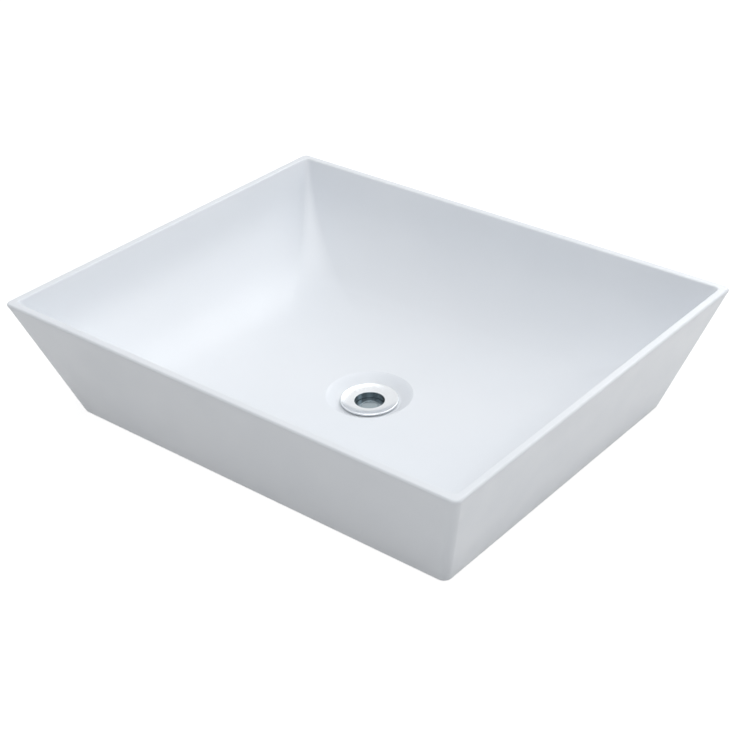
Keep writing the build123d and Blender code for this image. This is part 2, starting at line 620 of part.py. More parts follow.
os.makedirs("parts", exist_ok=True)
for name, make in NODES.items():
    export_step(make(), f"parts/{name}.step")
gap = (SPRING_LENGTH - SPRING_WIRE) / SPRING_TURNS - SPRING_WIRE
print(f"spring: least gap between turns {gap:.2f} mm")
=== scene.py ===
"""Looks of a rectangular countertop basin and its push-button waste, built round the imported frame.

Sizes are in millimetres. The meshes are written in metres, in the frame's own axes.
"""

import json
import logging
import math
from dataclasses import dataclass
from enum import Enum
from typing import Callable

import bmesh
import bpy
from mathutils import Matrix, Vector

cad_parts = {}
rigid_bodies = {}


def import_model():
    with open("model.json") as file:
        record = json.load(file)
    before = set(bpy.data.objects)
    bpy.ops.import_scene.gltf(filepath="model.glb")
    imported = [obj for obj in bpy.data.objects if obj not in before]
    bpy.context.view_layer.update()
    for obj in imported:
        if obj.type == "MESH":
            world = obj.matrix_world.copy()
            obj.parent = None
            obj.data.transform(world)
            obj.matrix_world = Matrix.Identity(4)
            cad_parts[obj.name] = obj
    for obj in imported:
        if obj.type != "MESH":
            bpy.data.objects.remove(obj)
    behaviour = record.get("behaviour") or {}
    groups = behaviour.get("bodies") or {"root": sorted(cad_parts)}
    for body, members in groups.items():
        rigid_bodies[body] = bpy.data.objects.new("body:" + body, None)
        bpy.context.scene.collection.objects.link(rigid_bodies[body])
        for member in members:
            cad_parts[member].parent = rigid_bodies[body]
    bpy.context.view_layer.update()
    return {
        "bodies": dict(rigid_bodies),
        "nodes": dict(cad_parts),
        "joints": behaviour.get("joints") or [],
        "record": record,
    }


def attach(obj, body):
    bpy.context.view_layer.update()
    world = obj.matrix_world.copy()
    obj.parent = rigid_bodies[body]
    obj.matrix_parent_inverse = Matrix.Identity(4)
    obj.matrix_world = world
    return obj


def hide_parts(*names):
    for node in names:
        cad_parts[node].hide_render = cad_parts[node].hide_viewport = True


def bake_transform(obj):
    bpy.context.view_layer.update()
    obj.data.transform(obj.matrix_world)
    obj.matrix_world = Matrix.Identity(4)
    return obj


MM = 0.001
LOG = logging.getLogger("basin")

Point = tuple[float, float, float]
Ring = list[Point]
Outline = list[tuple[float, float]]
ThreadShape = Callable[[float, float, float], float]


class Body(Enum):
    """Bodies of the frame that the pieces ride on."""

    FIXED = "basin_and_waste"
    PLUG = "plug"


class Slot(Enum):
    """Finishes that the record names."""

    GLAZE = "glaze"
    CHROME = "chrome"
    RUBBER = "seal_rubber"
    WHITE_PLASTIC = "white_plastic"
    BRASS = "brass"
    STEEL = "steel"
    CARTRIDGE_PLASTIC = "cartridge_plastic"
    FIBRE = "fibre"


def soft_min(first: float, second: float, reach: float) -> float:
    """Smaller of two heights, with the corner between them rounded off.

    Args:
        first: One height.
        second: The other height.
        reach: How far apart the heights are where the rounding ends.

    Returns:
        The rounded smaller height.
    """
    share = max(reach - abs(first - second), 0.0) / reach
    return min(first, second) - share * share * reach / 4


def eased(outline: list[tuple[float, float, float]], closed: bool, steps: int = 4) -> Outline:
    """Rounds the corners of a turned outline.

    Args:
        outline: Radius, height and rounding of each corner.
        closed: Whether the last corner joins the first.
        steps: Number of straight bits in each rounding.

    Returns:
        Radius and height of each point of the rounded outline.
    """
    points: Outline = []
    count = len(outline)
    for index, (radius, height, rounding) in enumerate(outline):
        at_end = not closed and index in (0, count - 1)
        if rounding <= 0 or at_end:
            points.append((radius, height))
            continue
        here = Vector((radius, height))
        before = Vector(outline[index - 1][:2]) - here
        after = Vector(outline[(index + 1) % count][:2]) - here
        turn = math.pi - before.angle(after)
        cut = min(rounding * math.tan(turn / 2), 0.45 * before.length, 0.45 * after.length)
        start = here + before.normalized() * cut
        end = here + after.normalized() * cut
        for step in range(steps + 1):
            share = step / steps
            point = start.lerp(here, share).lerp(here.lerp(end, share), share)
            points.append((point.x, point.y))
    return points


class MeshDraft:
    """Collects a piece's points and faces, and makes the object."""

    def __init__(self, name: str) -> None:
        """Starts an empty draft.

        Args:
            name: Name of the piece.
        """
        self.name = name
        self.points: Ring = []
        self.faces: list[tuple[int, ...]] = []

    def add_ring(self, ring: Ring) -> list[int]:
        """Adds points and gives their numbers.

        Args:
            ring: Points in millimetres.

        Returns:
            The number of each point in the draft.
        """
        start = len(self.points)
        self.points += ring
        return list(range(start, start + len(ring)))

    def bridge(self, lower: list[int], upper: list[int]) -> None:
        """Joins two closed rings, or a ring and a single point, with faces.

        Args:
            lower: Numbers of one ring's points.
            upper: Numbers of the other ring's points.
        """
        count = max(len(lower), len(upper))
        for index in range(count):
            after = (index + 1) % count
            if len(lower) == 1:
                self.faces.append((lower[0], upper[after], upper[index]))
            elif len(upper) == 1:
                self.faces.append((lower[index], lower[after], upper[0]))
            else:
                self.faces.append((lower[index], lower[after], upper[after], upper[index]))

    def stack(self, rings: list[Ring], closed: bool = False) -> None:
        """Adds rings one after another and joins each to the next.

        Args:
            rings: The rings, in order along the surface.
            closed: Whether the last ring joins the first.
        """
        numbers = [self.add_ring(ring) for ring in rings]
        for lower, upper in zip(numbers, numbers[1:]):
            self.bridge(lower, upper)
        if closed:
            self.bridge(numbers[-1], numbers[0])

    def turn(self, outline: Outline, closed: bool, columns: int = 96,
             shape: ThreadShape | None = None) -> None:
        """Turns an outline about the Z axis.

        Args:
            outline: Radius and height of each point. A radius of zero becomes a pole.
            closed: Whether the last point joins the first.
            columns: Number of points round each ring.
            shape: Gives the radius from a radius, a height and an angle, where it isn't round.
        """
        rings = []
        for radius, height in outline:
            if radius <= 0:
                rings.append([(0.0, 0.0, height)])
                continue
            ring = []
            for column in range(columns):
                angle = 2 * math.pi * column / columns
                reach = shape(radius, height, angle) if shape else radius
                ring.append((reach * math.cos(angle), reach * math.sin(angle), height))
            rings.append(ring)
        self.stack(rings, closed)

    def finish(self, sharp_degrees: float = 38.0, weighted: bool = True) -> bpy.types.Object:
        """Makes the object with clean normals.

        Args:
            sharp_degrees: Edges that turn by more than this stay sharp.
            weighted: Whether large flat faces hold their own normals.

        Returns:
            The new object, linked to the scene.
        """
        mesh = bpy.data.meshes.new(self.name)
        mesh.from_pydata([[MM * value for value in point] for point in self.points], [], self.faces)
        draft = bmesh.new()
        draft.from_mesh(mesh)
        bmesh.ops.remove_doubles(draft, verts=draft.verts, dist=1e-7)
        bmesh.ops.recalc_face_normals(draft, faces=draft.faces)
        draft.to_mesh(mesh)
        draft.free()
        mesh.shade_smooth()
        mesh.set_sharp_from_angle(angle=math.radians(sharp_degrees))
        piece = bpy.data.objects.new(self.name, mesh)
        bpy.context.scene.collection.objects.link(piece)
        if weighted:
            normals = piece.modifiers.new("even_normals", "WEIGHTED_NORMAL")
            normals.keep_sharp = True
        return piece


class Bench:
    """Node tree of one material, with short calls for placing and joining nodes."""

    def __init__(self, name: str) -> None:
        """Starts a material that has one principled shader.

        Args:
            name: Name of the material.
        """
        self.material = bpy.data.materials.new(name)
        self.material.use_nodes = True
        self.tree = self.material.node_tree
        self.shader = next(n for n in self.tree.nodes if n.type == "BSDF_PRINCIPLED")
        self.place = self.add("ShaderNodeTexCoord").outputs["Object"]

    def add(self, kind: str, **settings: object) -> bpy.types.Node:
        """Adds a node.

        Args:
            kind: Blender's name for the node.
            **settings: Properties of the node to set.

        Returns:
            The node.
        """
        node = self.tree.nodes.new(kind)
        for key, value in settings.items():
            setattr(node, key, value)
        return node

    def join(self, source: bpy.types.NodeSocket, target: bpy.types.NodeSocket) -> None:
        """Links one socket to another."""
        self.tree.links.new(source, target)

    def set(self, **values: object) -> None:
        """Sets constants on the shader's own sockets.

        Args:
            **values: Socket names, with underscores for spaces, and their values.
        """
        for key, value in values.items():
            self.shader.inputs[key.replace("_", " ")].default_value = value

    def noise(self, scale: float, detail: float = 3.0, roughness: float = 0.5,
              stretch: Point | None = None) -> bpy.types.NodeSocket:
        """Adds a noise pattern fixed to the piece.

        Args:
            scale: Number of waves in a metre.
            detail: Number of finer layers.
            roughness: Weight of the finer layers.
            stretch: Scale along each axis, or none for even noise.

        Returns:
            The socket that carries the pattern.
        """
        pattern = self.add("ShaderNodeTexNoise")
        pattern.inputs["Scale"].default_value = scale
        pattern.inputs["Detail"].default_value = detail
        pattern.inputs["Roughness"].default_value = roughness
        source = self.place
        if stretch:
            mapping = self.add("ShaderNodeMapping")
            mapping.inputs["Scale"].default_value = stretch
            self.join(source, mapping.inputs["Vector"])
            source = mapping.outputs["Vector"]
        self.join(source, pattern.inputs["Vector"])
        return pattern.outputs["Fac"]

    def ramp(self, source: bpy.types.NodeSocket, low: float, high: float,
             from_low: float = 0.3, from_high: float = 0.7) -> bpy.types.NodeSocket:
        """Maps a pattern to a range of numbers.

        Args:
            source: The pattern.
            low: Result at the low end.
            high: Result at the high end.
            from_low: Pattern value at the low end.
            from_high: Pattern value at the high end.

        Returns:
            The socket that carries the numbers.
        """
        node = self.add("ShaderNodeMapRange")
        for key, value in (("From Min", from_low), ("From Max", from_high),
                           ("To Min", low), ("To Max", high)):
            node.inputs[key].default_value = value
        self.join(source, node.inputs["Value"])
        return node.outputs["Result"]

    def tints(self, source: bpy.types.NodeSocket, first: Point, second: Point) -> bpy.types.NodeSocket:
        """Mixes two colours by a pattern.

        Args:
            source: The pattern, from 0 to 1.
            first: Colour at 0.
            second: Colour at 1.

        Returns:
            The socket that carries the colour.
        """
        node = self.add("ShaderNodeMix", data_type="RGBA")
        node.inputs[6].default_value = (*first, 1.0)
        node.inputs[7].default_value = (*second, 1.0)
        self.join(source, node.inputs["Factor"])
        return node.outputs[2]

    def bump(self, source: bpy.types.NodeSocket, depth: float, strength: float = 1.0,
             base: bpy.types.NodeSocket | None = None) -> bpy.types.NodeSocket:
        """Adds a relief.

        Args:
            source: Pattern that gives the relief.
            depth: Depth of the relief in metres.
            strength: Share of the relief that shows.
            base: Normal of an earlier relief, or none.

        Returns:
            The socket that carries the normal.
        """
        node = self.add("ShaderNodeBump")
        node.inputs["Distance"].default_value = depth
        node.inputs["Strength"].default_value = strength
        self.join(source, node.inputs["Height"])
        if base:
            self.join(base, node.inputs["Normal"])
        return node.outputs["Normal"]

    def height(self) -> bpy.types.NodeSocket:
        """Gives the height above the worktop, fixed to the piece."""
        split = self.add("ShaderNodeSeparateXYZ")
        self.join(self.place, split.inputs["Vector"])
        return split.outputs["Z"]


@dataclass(frozen=True)
class Glaze:
    """White glaze over vitreous clay, with a bare ground foot."""

    body_tint: Point = (0.80, 0.83, 0.87)
    pooled_tint: Point = (0.77, 0.805, 0.85)
    bare_tint: Point = (0.66, 0.63, 0.58)
    bare_roughness: float = 0.75
    roughness: float = 0.34
    bare_height: float = 0.0006
    pooled_waves: float = 5.0
    sheen_waves: float = 38.0
    relief_waves: float = 16.0
    relief_depth: float = 0.00025

    def make(self) -> bpy.types.Material:
        """Builds the material.

        Returns:
            The finished material.
        """
        bench = Bench("white_glaze")
        pooled = bench.noise(self.pooled_waves, 2.0)
        glazed = bench.tints(bench.ramp(pooled, 0.0, 1.0), self.body_tint, self.pooled_tint)
        foot = bench.ramp(bench.height(), 1.0, 0.0, self.bare_height * 0.6, self.bare_height)
        mix = bench.add("ShaderNodeMix", data_type="RGBA")
        mix.inputs[7].default_value = (*self.bare_tint, 1.0)
        bench.join(foot, mix.inputs["Factor"])
        bench.join(glazed, mix.inputs[6])
        bench.join(mix.outputs[2], bench.shader.inputs["Base Color"])
        smooth = bench.ramp(bench.noise(self.sheen_waves, 2.0), self.roughness * 0.85,
                            self.roughness * 1.2)
        rough = bench.add("ShaderNodeMix", data_type="FLOAT")
        rough.inputs[3].default_value = self.bare_roughness
        bench.join(foot, rough.inputs["Factor"])
        bench.join(smooth, rough.inputs[2])
        bench.join(rough.outputs[0], bench.shader.inputs["Roughness"])
        wave = bench.bump(bench.noise(self.relief_waves, 1.0), self.relief_depth, 0.25)
        bench.join(wave, bench.shader.inputs["Normal"])
        bench.set(IOR=1.5, Specular_IOR_Level=0.4, Coat_Weight=0.06, Coat_Roughness=0.15, Coat_IOR=1.5)
        return bench.material


@dataclass(frozen=True)
class PaintedThroatShade:
    """Painted shade in the drain's throat and on the plug in it: the chrome is darkened there to stand in for
    the shade that falls in the deep throat.
    """

    inner_radius: float = 0.0153
    outer_radius: float = 0.0159
    low: float = -0.016
    high: float = -0.014
    plug_radius: float = 0.01505
    wall_radius: float = 0.0152
    # Colours of the painted shade: on the plug disc, and on the throat's wall.
    plug_shade_tint: Point = (0.34, 0.40, 0.43)
    wall_shade_tint: Point = (0.15, 0.18, 0.20)

    def shade(self, bench: Bench, radius: bpy.types.NodeSocket) -> None:
        """Mixes the painted shade into the colour that the material has so far.

        Args:
            bench: Bench that holds the material.
            radius: Socket that carries the distance from the drain's axis.
        """
        # Mask of the painted shade: inside the throat's radius and above its low end.
        inside = bench.ramp(radius, 1.0, 0.0, self.inner_radius, self.outer_radius)
        above = bench.ramp(bench.height(), 0.0, 1.0, self.low, self.high)
        both = bench.add("ShaderNodeMath", operation="MULTIPLY")
        bench.join(inside, both.inputs[0])
        bench.join(above, both.inputs[1])
        edge = bench.ramp(radius, 0.0, 1.0, self.plug_radius, self.wall_radius)
        mix = bench.add("ShaderNodeMix", data_type="RGBA")
        bench.join(both.outputs[0], mix.inputs["Factor"])
        bench.join(bench.shader.inputs["Base Color"].links[0].from_socket, mix.inputs[6])
        bench.join(bench.tints(edge, self.plug_shade_tint, self.wall_shade_tint), mix.inputs[7])
        bench.join(mix.outputs[2], bench.shader.inputs["Base Color"])


@dataclass(frozen=True)
class Metal:
    """Turned or plated metal, with faint tool marks round the axis, and painted shade in the drain's throat
    where one is given.
    """

    name: str
    light_tint: Point
    dark_tint: Point
    roughness: float
    mark_spacing: float
    mark_depth: float
    # Painted shade in the drain's throat, or none.
    throat: PaintedThroatShade | None = None
    film_waves: float = 60.0
    handled_waves: float = 150.0

    def make(self) -> bpy.types.Material:
        """Builds the material.

        Returns:
            The finished material.
        """
        bench = Bench(self.name)
        film = bench.ramp(bench.noise(self.film_waves, 4.0), 0.0, 1.0)
        bench.join(bench.tints(film, self.light_tint, self.dark_tint), bench.shader.inputs["Base Color"])
        handled = bench.ramp(bench.noise(self.handled_waves, 5.0, 0.6), self.roughness * 0.8,
                             self.roughness * 1.35)
        bench.join(handled, bench.shader.inputs["Roughness"])
        split = bench.add("ShaderNodeSeparateXYZ")
        bench.join(bench.place, split.inputs["Vector"])
        flat = bench.add("ShaderNodeCombineXYZ")
        bench.join(split.outputs["X"], flat.inputs["X"])
        bench.join(split.outputs["Y"], flat.inputs["Y"])
        radius = bench.add("ShaderNodeVectorMath", operation="LENGTH")
        bench.join(flat.outputs["Vector"], radius.inputs[0])
        along = bench.add("ShaderNodeCombineXYZ")
        bench.join(radius.outputs["Value"], along.inputs["X"])
        bench.join(split.outputs["Z"], along.inputs["Y"])
        marks = bench.add("ShaderNodeTexNoise")
        marks.inputs["Scale"].default_value = 1.0 / self.mark_spacing
        marks.inputs["Detail"].default_value = 2.0
        bench.join(along.outputs["Vector"], marks.inputs["Vector"])
        bench.join(bench.bump(marks.outputs["Fac"], self.mark_depth, 0.6), bench.shader.inputs["Normal"])
        bench.set(Metallic=1.0)
        # Paints shade into the chrome's colour in the throat and on the plug disc.
        if self.throat:
            self.throat.shade(bench, radius.outputs["Value"])
        return bench.material


@dataclass(frozen=True)
class Moulding:
    """Moulded rubber, plastic or pressed fibre, with a fine grain."""

    name: str
    light_tint: Point
    dark_tint: Point
    roughness: float
    grain: float
    grain_depth: float
    stretch: Point | None = None

    def make(self) -> bpy.types.Material:
        """Builds the material.

        Returns:
            The finished material.
        """
        bench = Bench(self.name)
        shade = bench.ramp(bench.noise(self.grain * 0.06, 4.0), 0.0, 1.0)
        bench.join(bench.tints(shade, self.light_tint, self.dark_tint), bench.shader.inputs["Base Color"])
        sheen = bench.ramp(bench.noise(self.grain * 0.15, 3.0), self.roughness * 0.88, self.roughness * 1.12)
        bench.join(sheen, bench.shader.inputs["Roughness"])
        fine = bench.noise(self.grain, 3.0, 0.6, self.stretch)
        bench.join(bench.bump(fine, self.grain_depth, 0.5), bench.shader.inputs["Normal"])
        return bench.material


FINISHES = {
    Slot.GLAZE: Glaze(),
    # The chrome carries painted shade in the drain's throat and on the plug disc.
    Slot.CHROME: Metal("polished_chrome", (0.82, 0.845, 0.87), (0.77, 0.795, 0.82), 0.2, 0.0006, 0.000004,
                       PaintedThroatShade()),
    Slot.BRASS: Metal("machined_brass", (0.72, 0.55, 0.26), (0.58, 0.42, 0.18), 0.28, 0.0003, 0.00001),
    Slot.STEEL: Metal("spring_steel", (0.60, 0.60, 0.59), (0.47, 0.47, 0.47), 0.30, 0.0003, 0.000008),
    Slot.RUBBER: Moulding("black_rubber", (0.035, 0.035, 0.036), (0.022, 0.022, 0.023), 0.62,
                          1800.0, 0.00004),
    Slot.WHITE_PLASTIC: Moulding("white_plastic", (0.80, 0.80, 0.78), (0.75, 0.75, 0.73), 0.38,
                                 1200.0, 0.00002),
    Slot.CARTRIDGE_PLASTIC: Moulding("cartridge_plastic", (0.70, 0.70, 0.66), (0.62, 0.62, 0.58), 0.42,
                                     1400.0, 0.00002),
    Slot.FIBRE: Moulding("pressed_fibre", (0.40, 0.12, 0.08), (0.28, 0.08, 0.055), 0.75,
                         1500.0, 0.00008, (1.0, 0.25, 1.0)),
}


class Workshop:
    """Keeps the finishes, and fastens each piece to the frame."""

    def __init__(self, frame: dict) -> None:
        """Makes the materials.
        """
        self.nodes: dict[str, bpy.types.Object] = frame["nodes"]
        rows = frame["record"]["subparts"]
        self.slots = {row["node"]: Slot(row["material_slot"]) for row in rows}
        self.materials = {slot: finish.make() for slot, finish in FINISHES.items()}

    def fit(self, piece: bpy.types.Object, body: Body, slot: Slot, *replaced: str) -> None:
        """Gives a piece its finish, body and place in the frame.

        Args:
            piece: The new piece.
            body: Body that the piece rides on.
            slot: Finish of the piece.
            *replaced: Frame nodes that the piece stands for.
        """
        piece.data.materials.append(self.materials[slot])
        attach(piece, body.value)
        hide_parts(*replaced)
        LOG.info("%s stands for %s, finish %s", piece.name, ", ".join(replaced), slot.value)

    def dress(self, node: str) -> None:
        """Gives a frame node that stays in view the finish of its slot.

        Args:
            node: Name of the node.
        """
        thing = self.nodes[node]
        material = self.materials[self.slots[node]]
        if not thing.material_slots:
            thing.data.materials.append(material)
        for place in thing.material_slots:
            place.material = material
        LOG.info("%s keeps its own shape, finish %s", node, self.slots[node].value)


@dataclass
class Basin:
    """The ceramic basin: leaning walls, thin rim, soft bowl, drain recess, hollow underside."""

    length: float = 550.0
    width: float = 448.0
    height: float = 130.0
    lean: float = 45.0
    rim_width: float = 9.5
    outer_corner: float = 8.0
    rim_rounding: float = 2.2
    foot_rounding: float = 3.0
    foot_width: float = 11.0
    blend_radius: float = 120.0
    skin: float = 9.0
    bowl_top_corner: float = 6.0
    bowl_floor_corner: float = 62.0
    corner_power: float = 1.3
    floor_slope: float = 4.0
    floor_rise: float = 5.8
    floor_easing: float = 0.15
    seat_height: float = 7.5
    seat_radius: float = 31.5
    recess_depth: float = 8.7
    recess_radius: float = 43.0
    recess_overshoot: float = 4.0
    recess_start_slope: float = 0.35
    recess_end_slope: float = 0.3
    recess_easing: float = 1.2
    flat_margin: float = 1.5
    boss_radius: float = 38.0
    hole_radius: float = 22.5
    hole_rounding: float = 0.8
    corner_steps: int = 22
    long_steps: int = 24
    short_steps: int = 20
    roof_grain: int = 400

    def __post_init__(self) -> None:
        """Works out the sizes that follow from the fields."""
        lean_angle = math.atan2(self.lean, self.height)
        trim = self.rim_rounding * (math.tan(lean_angle) + 1 / math.cos(lean_angle) - 1)
        self.half_length = self.length / 2 + trim
        self.half_width = self.width / 2 + trim
        self.wall_angle = math.pi / 2 - lean_angle
        self.floor_angle = math.radians(self.floor_slope)
        self.floor_centre = self.seat_height + self.recess_depth
        self.floor_edge = self.floor_centre + self.floor_rise
        self.blend_centre = self.floor_edge + self.blend_radius * math.cos(self.floor_angle)
        self.blend_top = self.blend_centre - self.blend_radius * math.cos(self.wall_angle)
        top_inset = (self.height - self.blend_top) / math.tan(self.wall_angle)
        self.blend_inset = top_inset + self.blend_radius * math.sin(self.wall_angle)
        self.edge_inset = self.blend_inset - self.blend_radius * math.sin(self.floor_angle)
        self.flat_radius = self.recess_radius + self.flat_margin
        edge = self.bowl_ring(2.0)
        self.bearings = [math.atan2(y, x) for x, y, _ in edge]
        self.roof_rings: dict[int, Ring] = {}

    def section(self, half_length: float, half_width: float, corner: float, height: float) -> Ring:
        """Rounded rectangle with the same number of points whatever its size.

        Args:
            half_length: Half size along X.
            half_width: Half size along Y.
            corner: Radius of the corners.
            height: Height of the section.

        Returns:
            The points, anticlockwise from above.
        """
        a, b = half_length - corner, half_width - corner
        centres = [(a, b), (-a, b), (-a, -b), (a, -b)]
        ring = []
        for index, (cx, cy) in enumerate(centres):
            for step in range(self.corner_steps + 1):
                angle = (index + step / self.corner_steps) * math.pi / 2
                ring.append((cx + corner * math.cos(angle), cy + corner * math.sin(angle), height))
            steps = self.short_steps if index % 2 else self.long_steps
            last = Vector(ring[-1])
            nx, ny = centres[(index + 1) % 4]
            angle = (index + 1) * math.pi / 2
            goal = Vector((nx + corner * math.cos(angle), ny + corner * math.sin(angle), height))
            ring += [tuple(last.lerp(goal, step / steps)) for step in range(1, steps)]
        return ring

    def circle(self, radius: float, height: float) -> Ring:
        """Circle about the drain whose points lie on the bowl's own bearings.

        Args:
            radius: Radius of the circle.
            height: Height of the circle.

        Returns:
            The points of the circle.
        """
        return [(radius * math.cos(a), radius * math.sin(a), height) for a in self.bearings]

    def walled(self, inset: float, height: float, corner_change: float = 0.0) -> Ring:
        """Section parallel to the outer walls.

        Args:
            inset: How far it lies inside the sharp outline of the rim.
            height: Height of the section.
            corner_change: What is added to the outer corner's radius.

        Returns:
            The points of the section.
        """
        return self.section(self.half_length - inset, self.half_width - inset,
                            self.outer_corner + corner_change, height)

    def bowl_ring(self, travel: float, growth: float = 0.0) -> Ring:
        """Ring of the bowl's surface, or of the underside at a distance from it.

        Args:
            travel: 0 to 1 down the wall, to 2 round the blend, to 3 over the floor.
            growth: Distance from the bowl's surface.

        Returns:
            The points of the ring.
        """
        if travel > 2.0:
            return self.floor_ring(travel - 2.0, growth)
        if travel < 1.0:
            slope = self.wall_angle
            height = self.height + (self.blend_top - self.height) * travel
            inset = (self.height - height) / math.tan(slope)
        else:
            slope = self.wall_angle + (self.floor_angle - self.wall_angle) * (travel - 1.0)
            height = self.blend_centre - self.blend_radius * math.cos(slope)
            inset = self.blend_inset - self.blend_radius * math.sin(slope)
        share = (inset / self.edge_inset) ** self.corner_power
        corner = self.bowl_top_corner + (self.bowl_floor_corner - self.bowl_top_corner) * share
        out = self.rim_width + inset - growth * math.sin(slope)
        return self.section(self.half_length - out, self.half_width - out,
                            corner + growth * math.sin(slope), height - growth * math.cos(slope))

    def floor_ring(self, share: float, growth: float) -> Ring:
        """Ring of the bowl's floor, which turns from a rounded rectangle to a circle.

        Args:
            share: 0 at the floor's edge and 1 at the flat round the drain.
            growth: Distance below the floor.

        Returns:
            The points of the ring.
        """
        edge = self.bowl_ring(2.0)
        left = 1.0 - share
        ease = self.floor_easing
        rise = (math.hypot(left, ease) - ease) / (math.hypot(1.0, ease) - ease)
        height = self.floor_centre + self.floor_rise * rise - growth
        ring = []
        for (x, y, _), (cx, cy, _) in zip(edge, self.circle(self.flat_radius, 0.0)):
            ring.append((x * left + cx * share, y * left + cy * share, height))
        return ring

    def recess_height(self, radius: float) -> float:
        """Height of the recess's slope, which rises from the seat to the floor.

        Args:
            radius: Distance from the drain's axis.

        Returns:
            The height at that radius, eased into the floor and the seat.
        """
        end_radius = self.recess_radius + self.recess_overshoot
        end_height = self.floor_centre + self.recess_overshoot * self.recess_end_slope
        span = end_radius - self.seat_radius
        t = (radius - self.seat_radius) / span
        slope = ((2 * t ** 3 - 3 * t ** 2 + 1) * self.seat_height
                 + (t ** 3 - 2 * t ** 2 + t) * span * self.recess_start_slope
                 + (3 * t ** 2 - 2 * t ** 3) * end_height
                 + (t ** 3 - t ** 2) * span * self.recess_end_slope)
        return soft_min(slope, self.floor_centre, self.recess_easing)

    def rim_and_wall(self) -> list[Ring]:
        """Rings from the rim's flat top, over its outer edge, down the wall and under the foot."""
        lean = math.pi / 2 - self.wall_angle
        spread = (1 + math.sin(lean)) / math.cos(lean)
        radius = self.rim_rounding
        top_inset = spread * radius
        rings = [self.walled(top_inset + 0.7, self.height, -top_inset - 0.7)]
        for step in range(9):
            angle = (math.pi / 2 + lean) * step / 8
            inset = top_inset - radius * math.sin(angle)
            drop = radius * (1 - math.cos(angle))
            rings.append(self.walled(inset, self.height - drop, -inset))
        radius = self.foot_rounding
        foot_inset = self.lean + radius * (1 - math.sin(lean)) / math.cos(lean)
        start = math.pi / 2 + lean
        foot_top = radius * (1 - math.sin(lean))
        wall_bottom = self.height - self.rim_rounding * (1 + math.sin(lean))
        for share in (0.02, 0.1, 0.3, 0.5, 0.7, 0.9, 0.98):
            height = wall_bottom + (foot_top - wall_bottom) * share
            rings.append(self.walled(self.lean * (1 - height / self.height), height))
        for step in range(9):
            angle = start + (math.pi - start) * step / 8
            inset = foot_inset - radius * math.sin(angle)
            rings.append(self.walled(inset, radius + radius * math.cos(angle), self.lean - inset))
        return rings

    def underside(self) -> list[Ring]:
        """Rings up the hollow's wall, under the bowl's skin and down the drain's boss.

        Returns:
            The rings from the foot's inner edge to the boss's foot.
        """
        foot = self.walled(self.lean + self.foot_width, 0.0)
        meeting = self.meeting_travels()
        roof = [[self.bowl_ring_point(t, column) for column, t in enumerate(meeting)]]
        for step in range(1, 13):
            share = step / 12
            roof.append([self.bowl_ring_point(t + (2.0 - t) * share, column)
                         for column, t in enumerate(meeting)])
        walls = []
        for share in (0.0, 0.03, 0.5, 0.97):
            walls.append([tuple(Vector(low).lerp(Vector(high), share))
                          for low, high in zip(foot, roof[0])])
        floor = [self.floor_ring(share, self.skin) for share in (0.25, 0.5, 0.75, 1.0)]
        under = self.floor_centre - self.skin
        boss = [self.circle(self.boss_radius + 1.5, under), self.circle(self.boss_radius, under - 1.5),
                self.circle(self.boss_radius, 1.0), self.circle(self.boss_radius - 1.0, 0.0)]
        return walls + roof + floor + boss

    def bowl_ring_point(self, travel: float, column: int) -> Point:
        """Point of the underside's roof.

        Args:
            travel: Place along the bowl's outline.
            column: Number of the point in its ring.

        Returns:
            The point, at the skin's distance from the bowl.
        """
        key = round(travel * self.roof_grain)
        if key not in self.roof_rings:
            self.roof_rings[key] = self.bowl_ring(key / self.roof_grain, self.skin)
        return self.roof_rings[key][column]

    def meeting_travels(self) -> list[float]:
        """Finds where the roof of the underside meets the hollow's wall.

        Returns:
            The travel along the bowl's outline for each column.
        """
        count = len(self.bearings)
        found = [2.0] * count
        for key in range(2 * self.roof_grain - 4, self.roof_grain, -4):
            travel = key / self.roof_grain
            for column in range(count):
                x, y, z = self.bowl_ring_point(travel, column)
                out = self.lean * (1 - z / self.height) + self.foot_width
                a = self.half_length - out - self.outer_corner
                b = self.half_width - out - self.outer_corner
                over = Vector((max(abs(x) - a, 0.0), max(abs(y) - b, 0.0))).length
                if over < self.outer_corner and found[column] > travel:
                    found[column] = travel
        return found

    def bowl(self) -> list[Ring]:
        """Rings from the bowl's rim edge down its wall and over its floor to the drain's hole.

        Returns:
            The rings in order.
        """
        lean = math.pi / 2 - self.wall_angle
        radius = self.rim_rounding
        start_inset = self.rim_width - radius * (1 - math.sin(lean)) / math.cos(lean)
        rings = []
        rounding = self.bowl_top_corner
        first = self.rim_width - start_inset
        rings.append(self.section(self.half_length - start_inset + 0.7, self.half_width - start_inset + 0.7,
                                  rounding + first + 0.7, self.height))
        for step in range(9):
            angle = (math.pi / 2 - lean) * step / 8
            inset = start_inset + radius * math.sin(angle)
            drop = radius * (1 - math.cos(angle))
            rings.append(self.section(self.half_length - inset, self.half_width - inset,
                                      rounding + self.rim_width - inset, self.height - drop))
        start = (radius * (1 - math.cos(math.pi / 2 - lean))) / (self.height - self.blend_top)
        travels = [start + 0.02, start + 0.08, 0.25, 0.45, 0.65, 0.85]
        travels += [1.0 + step / 26 for step in range(27)]
        travels += [2.0 + share for share in (0.05, 0.12, 0.2, 0.3, 0.4, 0.5, 0.6, 0.7, 0.8, 0.88, 0.95, 1.0)]
        shell = [self.bowl_ring(travel) for travel in travels]
        self.relax(shell, travels)
        rings += shell
        for radius in (44.0, 43.5, 43.0, 42.5, 42.0, 41.4, 40.6, 39.6, 38.4, 37.0, 35.5, 34.0, 32.8, 32.0):
            rings.append(self.circle(radius, self.recess_height(radius)))
        rings.append(self.circle(self.seat_radius - 0.6, self.seat_height))
        edge = self.hole_rounding
        for step in range(5):
            angle = math.pi / 2 * step / 4
            rings.append(self.circle(self.hole_radius + edge * (1 - math.sin(angle)),
                                     self.seat_height - edge * (1 - math.cos(angle))))
        rings.append(self.circle(self.hole_radius, self.hole_rounding))
        rings.append(self.circle(self.hole_radius + self.hole_rounding, 0.0))
        return rings

